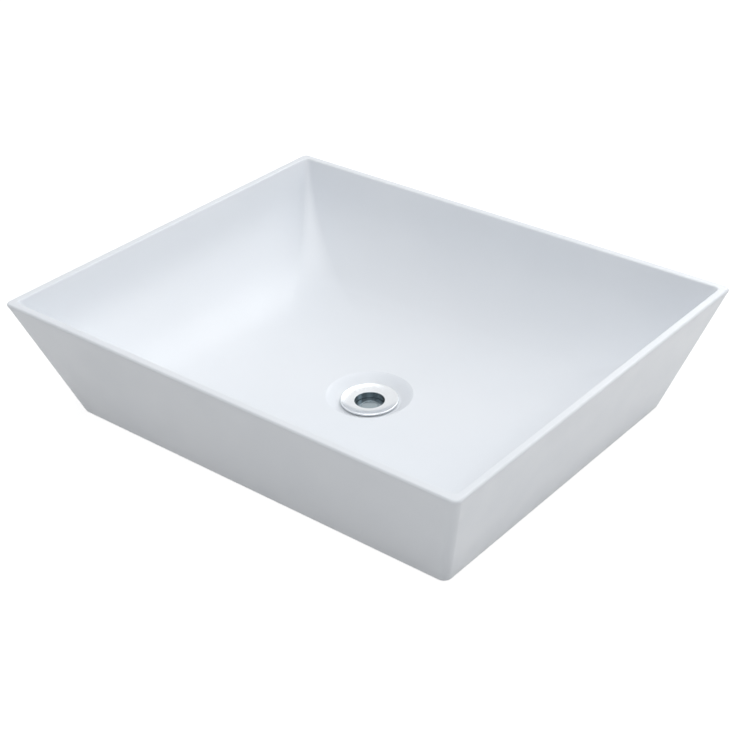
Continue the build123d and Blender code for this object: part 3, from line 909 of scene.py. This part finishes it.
    def relax(self, rings: list[Ring], travels: list[float], rounds: int = 10) -> None:
        """Evens out the crease where the blend runs into the floor.

        Args:
            rings: The rings, which are changed.
            travels: Place of each ring along the bowl's outline.
            rounds: Number of times that the rings are evened out.
        """
        window = [k for k in range(1, len(rings) - 1) if 1.7 < travels[k] < 2.5]
        for _ in range(rounds):
            fresh = {}
            for k in window:
                fresh[k] = [tuple((a + 2 * b + c) / 4 for a, b, c in zip(*trio))
                            for trio in zip(rings[k - 1], rings[k], rings[k + 1])]
            for k, ring in fresh.items():
                rings[k] = ring

    def build(self, shop: Workshop) -> None:
        """Makes the casting and fits it.

        Args:
            shop: Workshop that dresses the piece.
        """
        draft = MeshDraft("basin_casting")
        outside = self.rim_and_wall() + self.underside()
        inside = self.bowl()
        draft.stack(outside + inside[::-1], closed=True)
        shop.fit(draft.finish(32.0), Body.FIXED, Slot.GLAZE, "basin")


@dataclass
class Waste:
    """The fixed metal parts of the waste: body with its thread and spider, gasket, tailpiece."""

    flange_radius: float = 29.8
    flange_top: float = 11.0
    flange_edge: float = 2.0
    flange_rounding: float = 0.7
    dish: float = 1.8
    dish_sag: float = 0.5
    throat_radius: float = 15.25
    throat_bottom: float = -5.8
    lip_rounding: float = 0.6
    neck_radius: float = 20.75
    spigot_radius: float = 20.95
    spigot_length: float = 12.0
    pitch: float = 2.309
    thread_depth: float = 1.479
    turns: int = 17
    shank_tail: float = 11.5
    waterway_radius: float = 16.0
    waterway_step: float = 1.0
    socket_radius: float = 17.9
    socket_depth: float = 12.0
    hub_radius: float = 10.5
    hub_bore: float = 6.95
    hub_top: float = -41.55
    hub_height: float = 6.0
    arm_width: float = 3.0
    arm_height: float = 4.0
    arm_count: int = 4
    gasket_bottom: float = 7.5
    gasket_inner: float = 21.0
    gasket_width: float = 7.0
    tail_radius: float = 16.0
    tail_wall: float = 1.2
    tail_length: float = 64.0
    tail_seal: float = 2.0
    tail_head_clearance: float = 0.05

    def __post_init__(self) -> None:
        """Works out the heights that follow from the fields."""
        self.thread_top = -self.spigot_length
        self.thread_bottom = self.thread_top - self.turns * self.pitch
        self.shank_bottom = self.thread_bottom - self.shank_tail
        self.socket_top = self.shank_bottom + self.socket_depth
        self.root_radius = self.spigot_radius - self.thread_depth

    def thread(self, radius: float, height: float, angle: float) -> float:
        """Radius of the shank's screw thread at a height and an angle.

        Args:
            radius: Radius of the outline there.
            height: Height of the point.
            angle: Angle round the axis.

        Returns:
            The radius with the thread cut in.
        """
        in_thread = self.thread_bottom < height < self.thread_top and radius > self.root_radius + 0.01
        if not in_thread:
            return radius
        phase = (height / self.pitch - angle / (2 * math.pi)) % 1.0
        ridge = min(max((1 - abs(2 * phase - 1) - 0.12) / 0.76, 0.0), 1.0)
        ridge = ridge * (0.6 + 0.4 * ridge * (3 - 2 * ridge))
        below = min((height - self.thread_bottom) / self.pitch, 1.0)
        above = min((self.thread_top - height) / self.pitch, 1.0)
        cut = self.thread_depth * (1 - ridge * below)
        return self.spigot_radius - cut * above

    def body_outline(self) -> Outline:
        """Outline of the waste body, with close points along the thread.

        Returns:
            Radius and height of each point, as a closed outline.
        """
        under = self.flange_top - self.flange_edge
        lip = self.flange_top - self.dish
        rim_in = self.flange_radius - self.flange_rounding
        outline = []
        for step in range(11):
            share = step / 10
            radius = rim_in + (self.throat_radius + self.lip_rounding - rim_in) * share
            sag = 4 * self.dish_sag * share * (1 - share)
            outline.append((radius, self.flange_top - self.dish * share - sag))
        for step in range(1, 6):
            angle = math.pi / 2 * step / 5
            outline.append((self.throat_radius + self.lip_rounding * (1 - math.sin(angle)),
                            lip - self.lip_rounding * (1 - math.cos(angle))))
        outline += [(self.throat_radius, self.throat_bottom),
                    (self.waterway_radius, self.throat_bottom - self.waterway_step),
                    (self.waterway_radius, self.socket_top),
                    (self.socket_radius, self.socket_top),
                    (self.socket_radius, self.shank_bottom + 0.3),
                    (self.socket_radius + 0.3, self.shank_bottom),
                    (self.root_radius - 0.4, self.shank_bottom),
                    (self.root_radius, self.shank_bottom + 0.4),
                    (self.root_radius, self.thread_bottom)]
        levels = self.turns * 12
        for level in range(1, levels):
            height = self.thread_bottom + (self.thread_top - self.thread_bottom) * level / levels
            outline.append((self.spigot_radius, height))
        outline += [(self.spigot_radius, self.thread_top), (self.spigot_radius, 0.0),
                    (self.neck_radius, 0.0), (self.neck_radius, under)]
        for step in range(5):
            angle = math.pi / 2 * step / 4
            outline.append((self.flange_radius - 0.3 + 0.3 * math.sin(angle),
                            under + 0.3 - 0.3 * math.cos(angle)))
        for step in range(6):
            angle = math.pi / 2 * step / 5
            outline.append((rim_in + self.flange_rounding * math.cos(angle),
                            self.flange_top - self.flange_rounding * (1 - math.sin(angle))))
        return outline[:-1]

    def add_spider(self, draft: MeshDraft) -> None:
        """Adds the hub and its arms to the body's draft.

        Args:
            draft: Draft of the waste body.
        """
        bottom = self.hub_top - self.hub_height
        hub = eased([(self.hub_bore, bottom, 0.3), (self.hub_radius, bottom, 0.5),
                     (self.hub_radius, self.hub_top, 0.5), (self.hub_bore, self.hub_top, 0.3)], True)
        draft.turn(hub, True, 64)
        middle = bottom + self.hub_height / 2
        half_w, half_h, edge = self.arm_width / 2, self.arm_height / 2, 0.5
        outline = [(half_w, half_h - edge), (half_w - edge, half_h), (edge - half_w, half_h),
                   (-half_w, half_h - edge), (-half_w, edge - half_h), (edge - half_w, -half_h),
                   (half_w - edge, -half_h), (half_w, edge - half_h)]
        for index in range(self.arm_count):
            spin = Matrix.Rotation(index * 2 * math.pi / self.arm_count, 3, "Z")
            ends = []
            for reach in (self.hub_radius - 0.3, self.waterway_radius + 0.2):
                ends.append([tuple(spin @ Vector((reach, across, middle + up))) for across, up in outline])
            numbers = [draft.add_ring(end) for end in ends]
            draft.bridge(*numbers)
            draft.faces += [tuple(numbers[0][::-1]), tuple(numbers[1])]

    def tail_outline(self) -> Outline:
        """Outline of the outlet tube with its head, as a closed outline."""
        bore = self.tail_radius - self.tail_wall
        head = self.socket_radius - self.tail_head_clearance
        top = self.socket_top - self.tail_seal
        bottom = self.shank_bottom - self.tail_length
        return eased([(bore, top, 0.2), (head, top, 0.4), (head, self.shank_bottom, 0.3),
                      (self.tail_radius, self.shank_bottom, 0.0), (self.tail_radius, bottom, 0.5),
                      (bore, bottom, 0.3)], True)

    def build(self, shop: Workshop) -> None:
        """Makes the fixed metal parts and their seals, and fits them.

        Args:
            shop: Workshop that dresses the pieces.
        """
        body = MeshDraft("waste_shell")
        body.turn(self.body_outline(), True, 128, self.thread)
        self.add_spider(body)
        shop.fit(body.finish(), Body.FIXED, Slot.CHROME, "waste_body")
        gasket = MeshDraft("flange_gasket_ring")
        outer = self.gasket_inner + self.gasket_width
        top = self.flange_top - self.flange_edge
        gasket.turn(eased([(self.gasket_inner, self.gasket_bottom, 0.4), (outer, self.gasket_bottom, 0.4),
                           (outer, top, 0.4), (self.gasket_inner, top, 0.4)], True), True)
        shop.fit(gasket.finish(), Body.FIXED, Slot.RUBBER, "flange_gasket")
        tail = MeshDraft("outlet_tube")
        tail.turn(self.tail_outline(), True)
        shop.fit(tail.finish(), Body.FIXED, Slot.CHROME, "tailpiece")
        seal = MeshDraft("tail_seal_ring")
        low = self.socket_top - self.tail_seal
        head = self.socket_radius - self.tail_head_clearance
        seal.turn(eased([(self.waterway_radius, low, 0.3), (head, low, 0.3), (head, self.socket_top, 0.3),
                         (self.waterway_radius, self.socket_top, 0.3)], True), True)
        shop.fit(seal.finish(), Body.FIXED, Slot.RUBBER, "tail_seal")


@dataclass
class HexNut:
    """Hexagon with its corners turned off at chosen ends, and a round bore."""

    name: str
    across_flats: float
    bore: float
    bottom: float
    top: float
    chamfer_bottom: bool = True
    chamfer_top: bool = True
    corner_loss: float = 0.35
    columns: int = 96

    def reach(self, angle: float) -> float:
        """Distance from the axis to the hexagon's side at an angle."""
        within = (angle + math.pi / 6) % (math.pi / 3) - math.pi / 6
        return self.across_flats / 2 / math.cos(within)

    def rings(self) -> list[Ring]:
        """Rings of the nut as a closed surface.

        Returns:
            The rings from the bore's foot, out, up and back to the bore's head.
        """
        angles = [2 * math.pi * column / self.columns for column in range(self.columns)]
        flat_radius = self.across_flats / 2 * 0.985
        slope = math.tan(math.radians(30))

        def circle(radius: float, height: float) -> Ring:
            """Round ring at a height."""
            return [(radius * math.cos(a), radius * math.sin(a), height) for a in angles]

        def edge(height: float, inward: int, turned: bool) -> Ring:
            """Line where the side meets the turned cone or the end face."""
            ring = []
            for angle in angles:
                reach = self.reach(angle)
                drop = (reach - flat_radius) * slope if turned else self.corner_loss * 0.3
                ring.append((reach * math.cos(angle), reach * math.sin(angle), height + inward * drop))
            return ring

        low_flat = flat_radius if self.chamfer_bottom else self.across_flats / 2 * 0.97
        high_flat = flat_radius if self.chamfer_top else self.across_flats / 2 * 0.97
        return [circle(self.bore + 0.25, self.bottom), circle(low_flat, self.bottom),
                edge(self.bottom, 1, self.chamfer_bottom), edge(self.top, -1, self.chamfer_top),
                circle(high_flat, self.top), circle(self.bore + 0.25, self.top),
                circle(self.bore, self.top - 0.25), circle(self.bore, self.bottom + 0.25)]

    def make(self) -> bpy.types.Object:
        """Makes the nut.

        Returns:
            The nut's object.
        """
        draft = MeshDraft(self.name)
        draft.stack(self.rings(), closed=True)
        return draft.finish(24.0)


@dataclass
class Clamp:
    """The parts that draw the waste down on the worktop: rubber washer, slip washer, lock nut."""

    bore: float = 21.2
    rubber_top: float = -20.0
    rubber_height: float = 8.0
    rubber_top_radius: float = 27.0
    radius: float = 31.0
    rubber_edge: float = 3.0
    washer_thickness: float = 1.5
    nut_flange: float = 2.5
    nut_height: float = 11.0
    nut_flats: float = 52.0
    nut_bore: float = 21.05

    def build(self, shop: Workshop) -> None:
        """Makes the clamping parts and fits them.

        Args:
            shop: Workshop that dresses the pieces.
        """
        low = self.rubber_top - self.rubber_height
        rubber = MeshDraft("tapered_rubber")
        rubber.turn(eased([(self.bore, low, 0.5), (self.radius, low, 0.8),
                           (self.radius, low + self.rubber_edge, 1.2),
                           (self.rubber_top_radius, self.rubber_top, 0.8),
                           (self.bore, self.rubber_top, 0.5)], True), True)
        shop.fit(rubber.finish(), Body.FIXED, Slot.RUBBER, "tapered_washer")
        washer_low = low - self.washer_thickness
        washer = MeshDraft("slip_ring")
        washer.turn(eased([(self.bore, washer_low, 0.3), (self.radius, washer_low, 0.4),
                           (self.radius, low, 0.4), (self.bore, low, 0.3)], True), True)
        shop.fit(washer.finish(), Body.FIXED, Slot.WHITE_PLASTIC, "slip_washer")
        self.build_nut(shop, washer_low)

    def build_nut(self, shop: Workshop, top: float) -> None:
        """Makes the flanged lock nut and fits it.

        Args:
            shop: Workshop that dresses the piece.
            top: Height of the nut's upper face.
        """
        nut = HexNut("flanged_lock_nut", self.nut_flats, self.nut_bore, top - self.nut_height,
                     top - self.nut_flange, chamfer_top=False)
        draft = MeshDraft(nut.name)
        draft.stack(nut.rings(), closed=True)
        low = top - self.nut_flange
        draft.turn(eased([(self.nut_bore, low, 0.1), (self.radius, low, 0.8), (self.radius, top, 0.4),
                          (self.nut_bore, top, 0.3)], True), True)
        shop.fit(draft.finish(24.0), Body.FIXED, shop.slots["lock_nut"], "lock_nut")


@dataclass
class Plug:
    """The moving parts: plug disc, sealing ring, jam nut and plunger."""

    top: float = 2.7
    radius: float = 15.0
    top_thickness: float = 2.4
    groove_height: float = 2.2
    foot_thickness: float = 1.4
    groove_radius: float = 13.08
    edge_rounding: float = 0.5
    ring_radius: float = 8.6
    ring_width: float = 0.8
    ring_depth: float = 0.35
    boss_radius: float = 5.2
    boss_height: float = 3.6
    stud_bore: float = 2.53
    stud_in_plug: float = 5.0
    seal_radius: float = 14.15
    seal_section: float = 1.05
    jam_flats: float = 8.0
    jam_height: float = 2.4
    stud_in_plunger: float = 7.0
    shaft_radius: float = 3.9
    collar_radius: float = 5.3
    collar_top: float = -30.4
    collar_height: float = 2.0
    pin_radius: float = 2.0
    pin_bottom: float = -38.1

    def disc_outline(self) -> Outline:
        """Outline of the plug disc from the middle of its top to the middle of its bore.

        Returns:
            Radius and height of each point.
        """
        groove_top = self.top - self.top_thickness
        groove_low = groove_top - self.groove_height
        foot = groove_low - self.foot_thickness
        boss = foot - self.boss_height
        inner = self.ring_radius - self.ring_width / 2
        outer = self.ring_radius + self.ring_width / 2
        deep = self.top - self.ring_depth
        edge = self.edge_rounding
        bore_top = boss + self.stud_in_plug + 0.03
        return eased([(0.0, self.top, 0.0), (inner, self.top, 0.15), (inner + 0.15, deep, 0.15),
                      (outer - 0.15, deep, 0.15), (outer, self.top, 0.15), (self.radius, self.top, edge),
                      (self.radius, groove_top, 0.2), (self.groove_radius, groove_top, 0.2),
                      (self.groove_radius, groove_low, 0.2), (self.radius, groove_low, 0.2),
                      (self.radius, foot, edge), (self.boss_radius, foot, 0.4),
                      (self.boss_radius, boss, 0.4), (self.stud_bore, boss, 0.2),
                      (self.stud_bore, bore_top, 0.0), (0.0, bore_top, 0.0)], False)

    def build(self, shop: Workshop) -> None:
        """Makes the moving parts and fits them.

        Args:
            shop: Workshop that dresses the pieces.
        """
        disc = MeshDraft("plug_disc")
        disc.turn(self.disc_outline(), False)
        shop.fit(disc.finish(), Body.PLUG, Slot.CHROME, "plug_cap")
        middle = self.top - self.top_thickness - self.groove_height / 2
        seal = MeshDraft("plug_sealing_ring")
        section = [2 * math.pi * step / 20 for step in range(20)]
        seal.turn([(self.seal_radius + self.seal_section * math.cos(a),
                    middle + self.seal_section * math.sin(a)) for a in section], True)
        shop.fit(seal.finish(weighted=False), Body.PLUG, Slot.RUBBER, "plug_seal")
        boss = self.top - self.top_thickness - self.groove_height - self.foot_thickness - self.boss_height
        plunger_top = boss - self.jam_height
        nut = HexNut("plug_height_nut", self.jam_flats, self.stud_bore, plunger_top, boss,
                     corner_loss=0.2, columns=72)
        shop.fit(nut.make(), Body.PLUG, shop.slots["jam_nut"], "jam_nut")
        stud_low = plunger_top - self.stud_in_plunger - 0.03
        collar_low = self.collar_top - self.collar_height
        plunger = MeshDraft("plunger_shaft")
        plunger.turn(eased([(0.0, stud_low, 0.0), (self.stud_bore, stud_low, 0.0),
                            (self.stud_bore, plunger_top, 0.2), (self.shaft_radius, plunger_top, 0.4),
                            (self.shaft_radius, self.collar_top, 0.3),
                            (self.collar_radius, self.collar_top, 0.3),
                            (self.collar_radius, collar_low, 0.3), (self.pin_radius, collar_low, 0.0),
                            (self.pin_radius, self.pin_bottom, 0.4), (0.0, self.pin_bottom, 0.0)],
                           False), False, 64)
        shop.fit(plunger.finish(), Body.PLUG, shop.slots["plunger"], "plunger")
        for node in ("plug_stud", "rotor_clip", "rotor"):
            shop.dress(node)


@dataclass
class Cartridge:
    """The fixed parts that guide the plug: cap, housing, spring, washer and nut."""

    cap_top: float = -11.8
    cap_plate: float = 2.0
    cap_skirt: float = 5.0
    cap_radius: float = 9.4
    shaft_bore: float = 3.95
    skirt_bore: float = 8.05
    spring_radius: float = 4.55
    spring_wire: float = 0.8
    spring_top: float = -36.5
    spring_bottom: float = -48.0
    spring_turns: float = 9.0
    washer_bore: float = 6.95
    washer_radius: float = 10.5
    washer_low: float = -41.55
    washer_top: float = -40.55
    nut_flats: float = 18.0
    nut_height: float = 3.0
    nut_top: float = -47.55

    def spring(self) -> bpy.types.Object:
        """Makes the spring, with a closed turn at each end.

        Returns:
            The spring as a mesh.
        """
        low = self.spring_bottom + self.spring_wire / 2
        high = self.spring_top - self.spring_wire / 2
        steps = int(self.spring_turns * 24)
        closed_rise = self.spring_wire * 0.98
        curve = bpy.data.curves.new("spring_line", "CURVE")
        curve.dimensions = "3D"
        curve.bevel_depth = self.spring_wire / 2 * MM
        curve.bevel_resolution = 4
        curve.use_fill_caps = True
        line = curve.splines.new("NURBS")
        line.points.add(steps)
        for step in range(steps + 1):
            turn = self.spring_turns * step / steps
            left = self.spring_turns - turn
            middle = (turn - 1) / (self.spring_turns - 2)
            middle_z = low + closed_rise + (high - low - 2 * closed_rise) * middle
            if turn < 1:
                z = low + closed_rise * turn
            elif left < 1:
                z = high - closed_rise * left
            else:
                z = middle_z
            angle = 2 * math.pi * turn
            line.points[step].co = (MM * self.spring_radius * math.cos(angle),
                                    MM * self.spring_radius * math.sin(angle), MM * z, 1.0)
        line.order_u = 4
        line.use_endpoint_u = True
        thing = bpy.data.objects.new("spring_line", curve)
        bpy.context.scene.collection.objects.link(thing)
        graph = bpy.context.evaluated_depsgraph_get()
        mesh = bpy.data.meshes.new_from_object(thing.evaluated_get(graph))
        bpy.data.objects.remove(thing)
        mesh.shade_smooth()
        piece = bpy.data.objects.new("coil_spring", mesh)
        bpy.context.scene.collection.objects.link(piece)
        return piece

    def build(self, shop: Workshop) -> None:
        """Makes the cartridge's parts and fits them.

        Args:
            shop: Workshop that dresses the pieces.
        """
        plate_low = self.cap_top - self.cap_plate
        skirt_low = plate_low - self.cap_skirt
        cap = MeshDraft("cartridge_cap_ring")
        cap.turn(eased([(self.shaft_bore, self.cap_top, 0.3), (self.cap_radius, self.cap_top, 0.8),
                        (self.cap_radius, skirt_low, 0.3), (self.skirt_bore, skirt_low, 0.2),
                        (self.skirt_bore, plate_low, 0.2), (self.shaft_bore, plate_low, 0.2)], True), True)
        shop.fit(cap.finish(), Body.FIXED, shop.slots["cartridge_cap"], "cartridge_cap")
        washer = MeshDraft("fibre_ring")
        washer.turn(eased([(self.washer_bore, self.washer_low, 0.15),
                           (self.washer_radius, self.washer_low, 0.15),
                           (self.washer_radius, self.washer_top, 0.15),
                           (self.washer_bore, self.washer_top, 0.15)], True), True, 64)
        shop.fit(washer.finish(), Body.FIXED, Slot.FIBRE, "cartridge_washer")
        nut = HexNut("hub_nut", self.nut_flats, self.washer_bore, self.nut_top - self.nut_height,
                     self.nut_top, columns=72)
        shop.fit(nut.make(), Body.FIXED, shop.slots["cartridge_nut"], "cartridge_nut")
        spring = self.spring()
        spring.data.materials.append(shop.materials[Slot.STEEL])
        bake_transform(spring)
        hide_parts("spring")
        LOG.info("%s stretches between the housing and the rotor", spring.name)
        shop.dress("cartridge_housing")


@dataclass(frozen=True)
class Lamp:
    """Soft rectangular lamp that points at the basin."""

    name: str
    place: Point
    aim: Point
    size: float
    power: float

    def hang(self) -> None:
        """Adds the lamp to the scene."""
        data = bpy.data.lights.new(self.name, "AREA")
        data.shape = "SQUARE"
        data.size = self.size
        data.energy = self.power
        lamp = bpy.data.objects.new(self.name, data)
        lamp.location = self.place
        lamp.rotation_mode = "QUATERNION"
        lamp.rotation_quaternion = (Vector(self.aim) - Vector(self.place)).to_track_quat("-Z", "Y")
        bpy.context.scene.collection.objects.link(lamp)


@dataclass(frozen=True)
class Camera:
    """Camera at the photograph's viewing angle."""

    azimuth: float = 40.0686
    elevation: float = 31.0404
    roll: float = -1.6656
    distance: float = 1.61771
    right: float = -0.00182
    up: float = 0.04028
    focal_pixels: float = 1592.2
    frame_pixels: float = 736.0
    sensor: float = 36.0

    def place(self) -> None:
        """Adds the camera to the scene and makes it the scene's own."""
        a, e, r = (math.radians(v) for v in (self.azimuth, self.elevation, self.roll))
        back = Vector((math.sin(a) * math.cos(e), -math.cos(a) * math.cos(e), math.sin(e)))
        level = Vector((0, 0, 1)).cross(back).normalized()
        upright = back.cross(level)
        side = level * math.cos(r) + upright * math.sin(r)
        top = upright * math.cos(r) - level * math.sin(r)
        spot = back * self.distance + side * self.right + top * self.up
        data = bpy.data.cameras.new("camera")
        data.sensor_width = self.sensor
        data.lens = self.focal_pixels * self.sensor / self.frame_pixels
        camera = bpy.data.objects.new("camera", data)
        turn = Matrix((side, top, back)).transposed().to_4x4()
        camera.matrix_world = Matrix.Translation(spot) @ turn
        bpy.context.scene.collection.objects.link(camera)
        bpy.context.scene.camera = camera


@dataclass(frozen=True)
class Studio:
    """White surroundings, soft lamps and the camera."""

    floor_size: float = 40.0
    floor_drop: float = 0.00005
    floor_tint: Point = (0.72, 0.72, 0.72)
    shown_tint: Point = (0.34, 0.34, 0.34)
    shown_glow: float = 0.84
    surround: float = 0.25
    lamps: tuple[Lamp, ...] = (
        Lamp("key_right_back", (2.0, 1.2, 1.6), (0, 0, 0.05), 1.4, 11.8),
        Lamp("overhead", (0.0, 0.3, 2.6), (0, 0, 0.05), 2.2, 26.5),
        Lamp("back_high", (-0.2, 2.2, 1.8), (0, 0, 0.05), 1.4, 20.2),
        Lamp("front_left", (-1.4, -2.0, 1.0), (0, 0, 0.05), 1.4, 3.0),
        Lamp("camera_high", (1.2, -1.5, 2.4), (0, 0, 0.05), 1.4, 19.9),
    )

    @staticmethod
    def seen_directly(tree: bpy.types.NodeTree) -> bpy.types.NodeSocket:
        """Adds nodes that are 1 for camera, glossy and transmission rays.

        Args:
            tree: Node tree that they are added to.

        Returns:
            The socket that carries the number.
        """
        rays = tree.nodes.new("ShaderNodeLightPath")
        total = rays.outputs["Is Camera Ray"]
        for name in ("Is Glossy Ray", "Is Transmission Ray"):
            larger = tree.nodes.new("ShaderNodeMath")
            larger.operation = "MAXIMUM"
            tree.links.new(total, larger.inputs[0])
            tree.links.new(rays.outputs[name], larger.inputs[1])
            total = larger.outputs[0]
        return total

    def lay_floor(self) -> None:
        """Adds the pale floor, which keeps the basin's shadow."""
        half = self.floor_size / 2
        mesh = bpy.data.meshes.new("floor")
        mesh.from_pydata([(-half, -half, -self.floor_drop), (half, -half, -self.floor_drop),
                          (half, half, -self.floor_drop), (-half, half, -self.floor_drop)],
                         [], [(0, 1, 2, 3)])
        floor = bpy.data.objects.new("floor", mesh)
        bpy.context.scene.collection.objects.link(floor)
        material = bpy.data.materials.new("pale_floor")
        material.use_nodes = True
        tree = material.node_tree
        tree.nodes.clear()
        output = tree.nodes.new("ShaderNodeOutputMaterial")
        plain = tree.nodes.new("ShaderNodeBsdfDiffuse")
        plain.inputs["Color"].default_value = (*self.floor_tint, 1.0)
        shown = tree.nodes.new("ShaderNodeBsdfDiffuse")
        shown.inputs["Color"].default_value = (*self.shown_tint, 1.0)
        glow = tree.nodes.new("ShaderNodeEmission")
        glow.inputs["Strength"].default_value = self.shown_glow
        both = tree.nodes.new("ShaderNodeAddShader")
        tree.links.new(shown.outputs[0], both.inputs[0])
        tree.links.new(glow.outputs[0], both.inputs[1])
        mix = tree.nodes.new("ShaderNodeMixShader")
        tree.links.new(self.seen_directly(tree), mix.inputs[0])
        tree.links.new(plain.outputs[0], mix.inputs[1])
        tree.links.new(both.outputs[0], mix.inputs[2])
        tree.links.new(mix.outputs[0], output.inputs["Surface"])
        mesh.materials.append(material)

    def light_world(self) -> None:
        """Sets the even light from all round, which shows as white."""
        world = bpy.data.worlds.new("surround")
        bpy.context.scene.world = world
        world.use_nodes = True
        tree = world.node_tree
        back = next(n for n in tree.nodes if n.type == "BACKGROUND")
        back.inputs["Color"].default_value = (1.0, 1.0, 1.0, 1.0)
        scale = tree.nodes.new("ShaderNodeMapRange")
        scale.inputs["To Min"].default_value = self.surround
        scale.inputs["To Max"].default_value = 1.0
        tree.links.new(self.seen_directly(tree), scale.inputs["Value"])
        tree.links.new(scale.outputs["Result"], back.inputs["Strength"])

    def set_up(self) -> None:
        """Lays the floor, hangs the lamps and places the camera."""
        bpy.context.scene.view_settings.view_transform = "Standard"
        self.lay_floor()
        self.light_world()
        for lamp in self.lamps:
            lamp.hang()
        Camera().place()


def main() -> None:
    """Builds the whole scene round the frame, in order."""
    logging.basicConfig(level=logging.INFO, format="%(message)s")
    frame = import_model()
    shop = Workshop(frame)
    Basin().build(shop)
    Waste().build(shop)
    Clamp().build(shop)
    Plug().build(shop)
    Cartridge().build(shop)
    Studio().set_up()


if __name__ == "__main__":
    main()
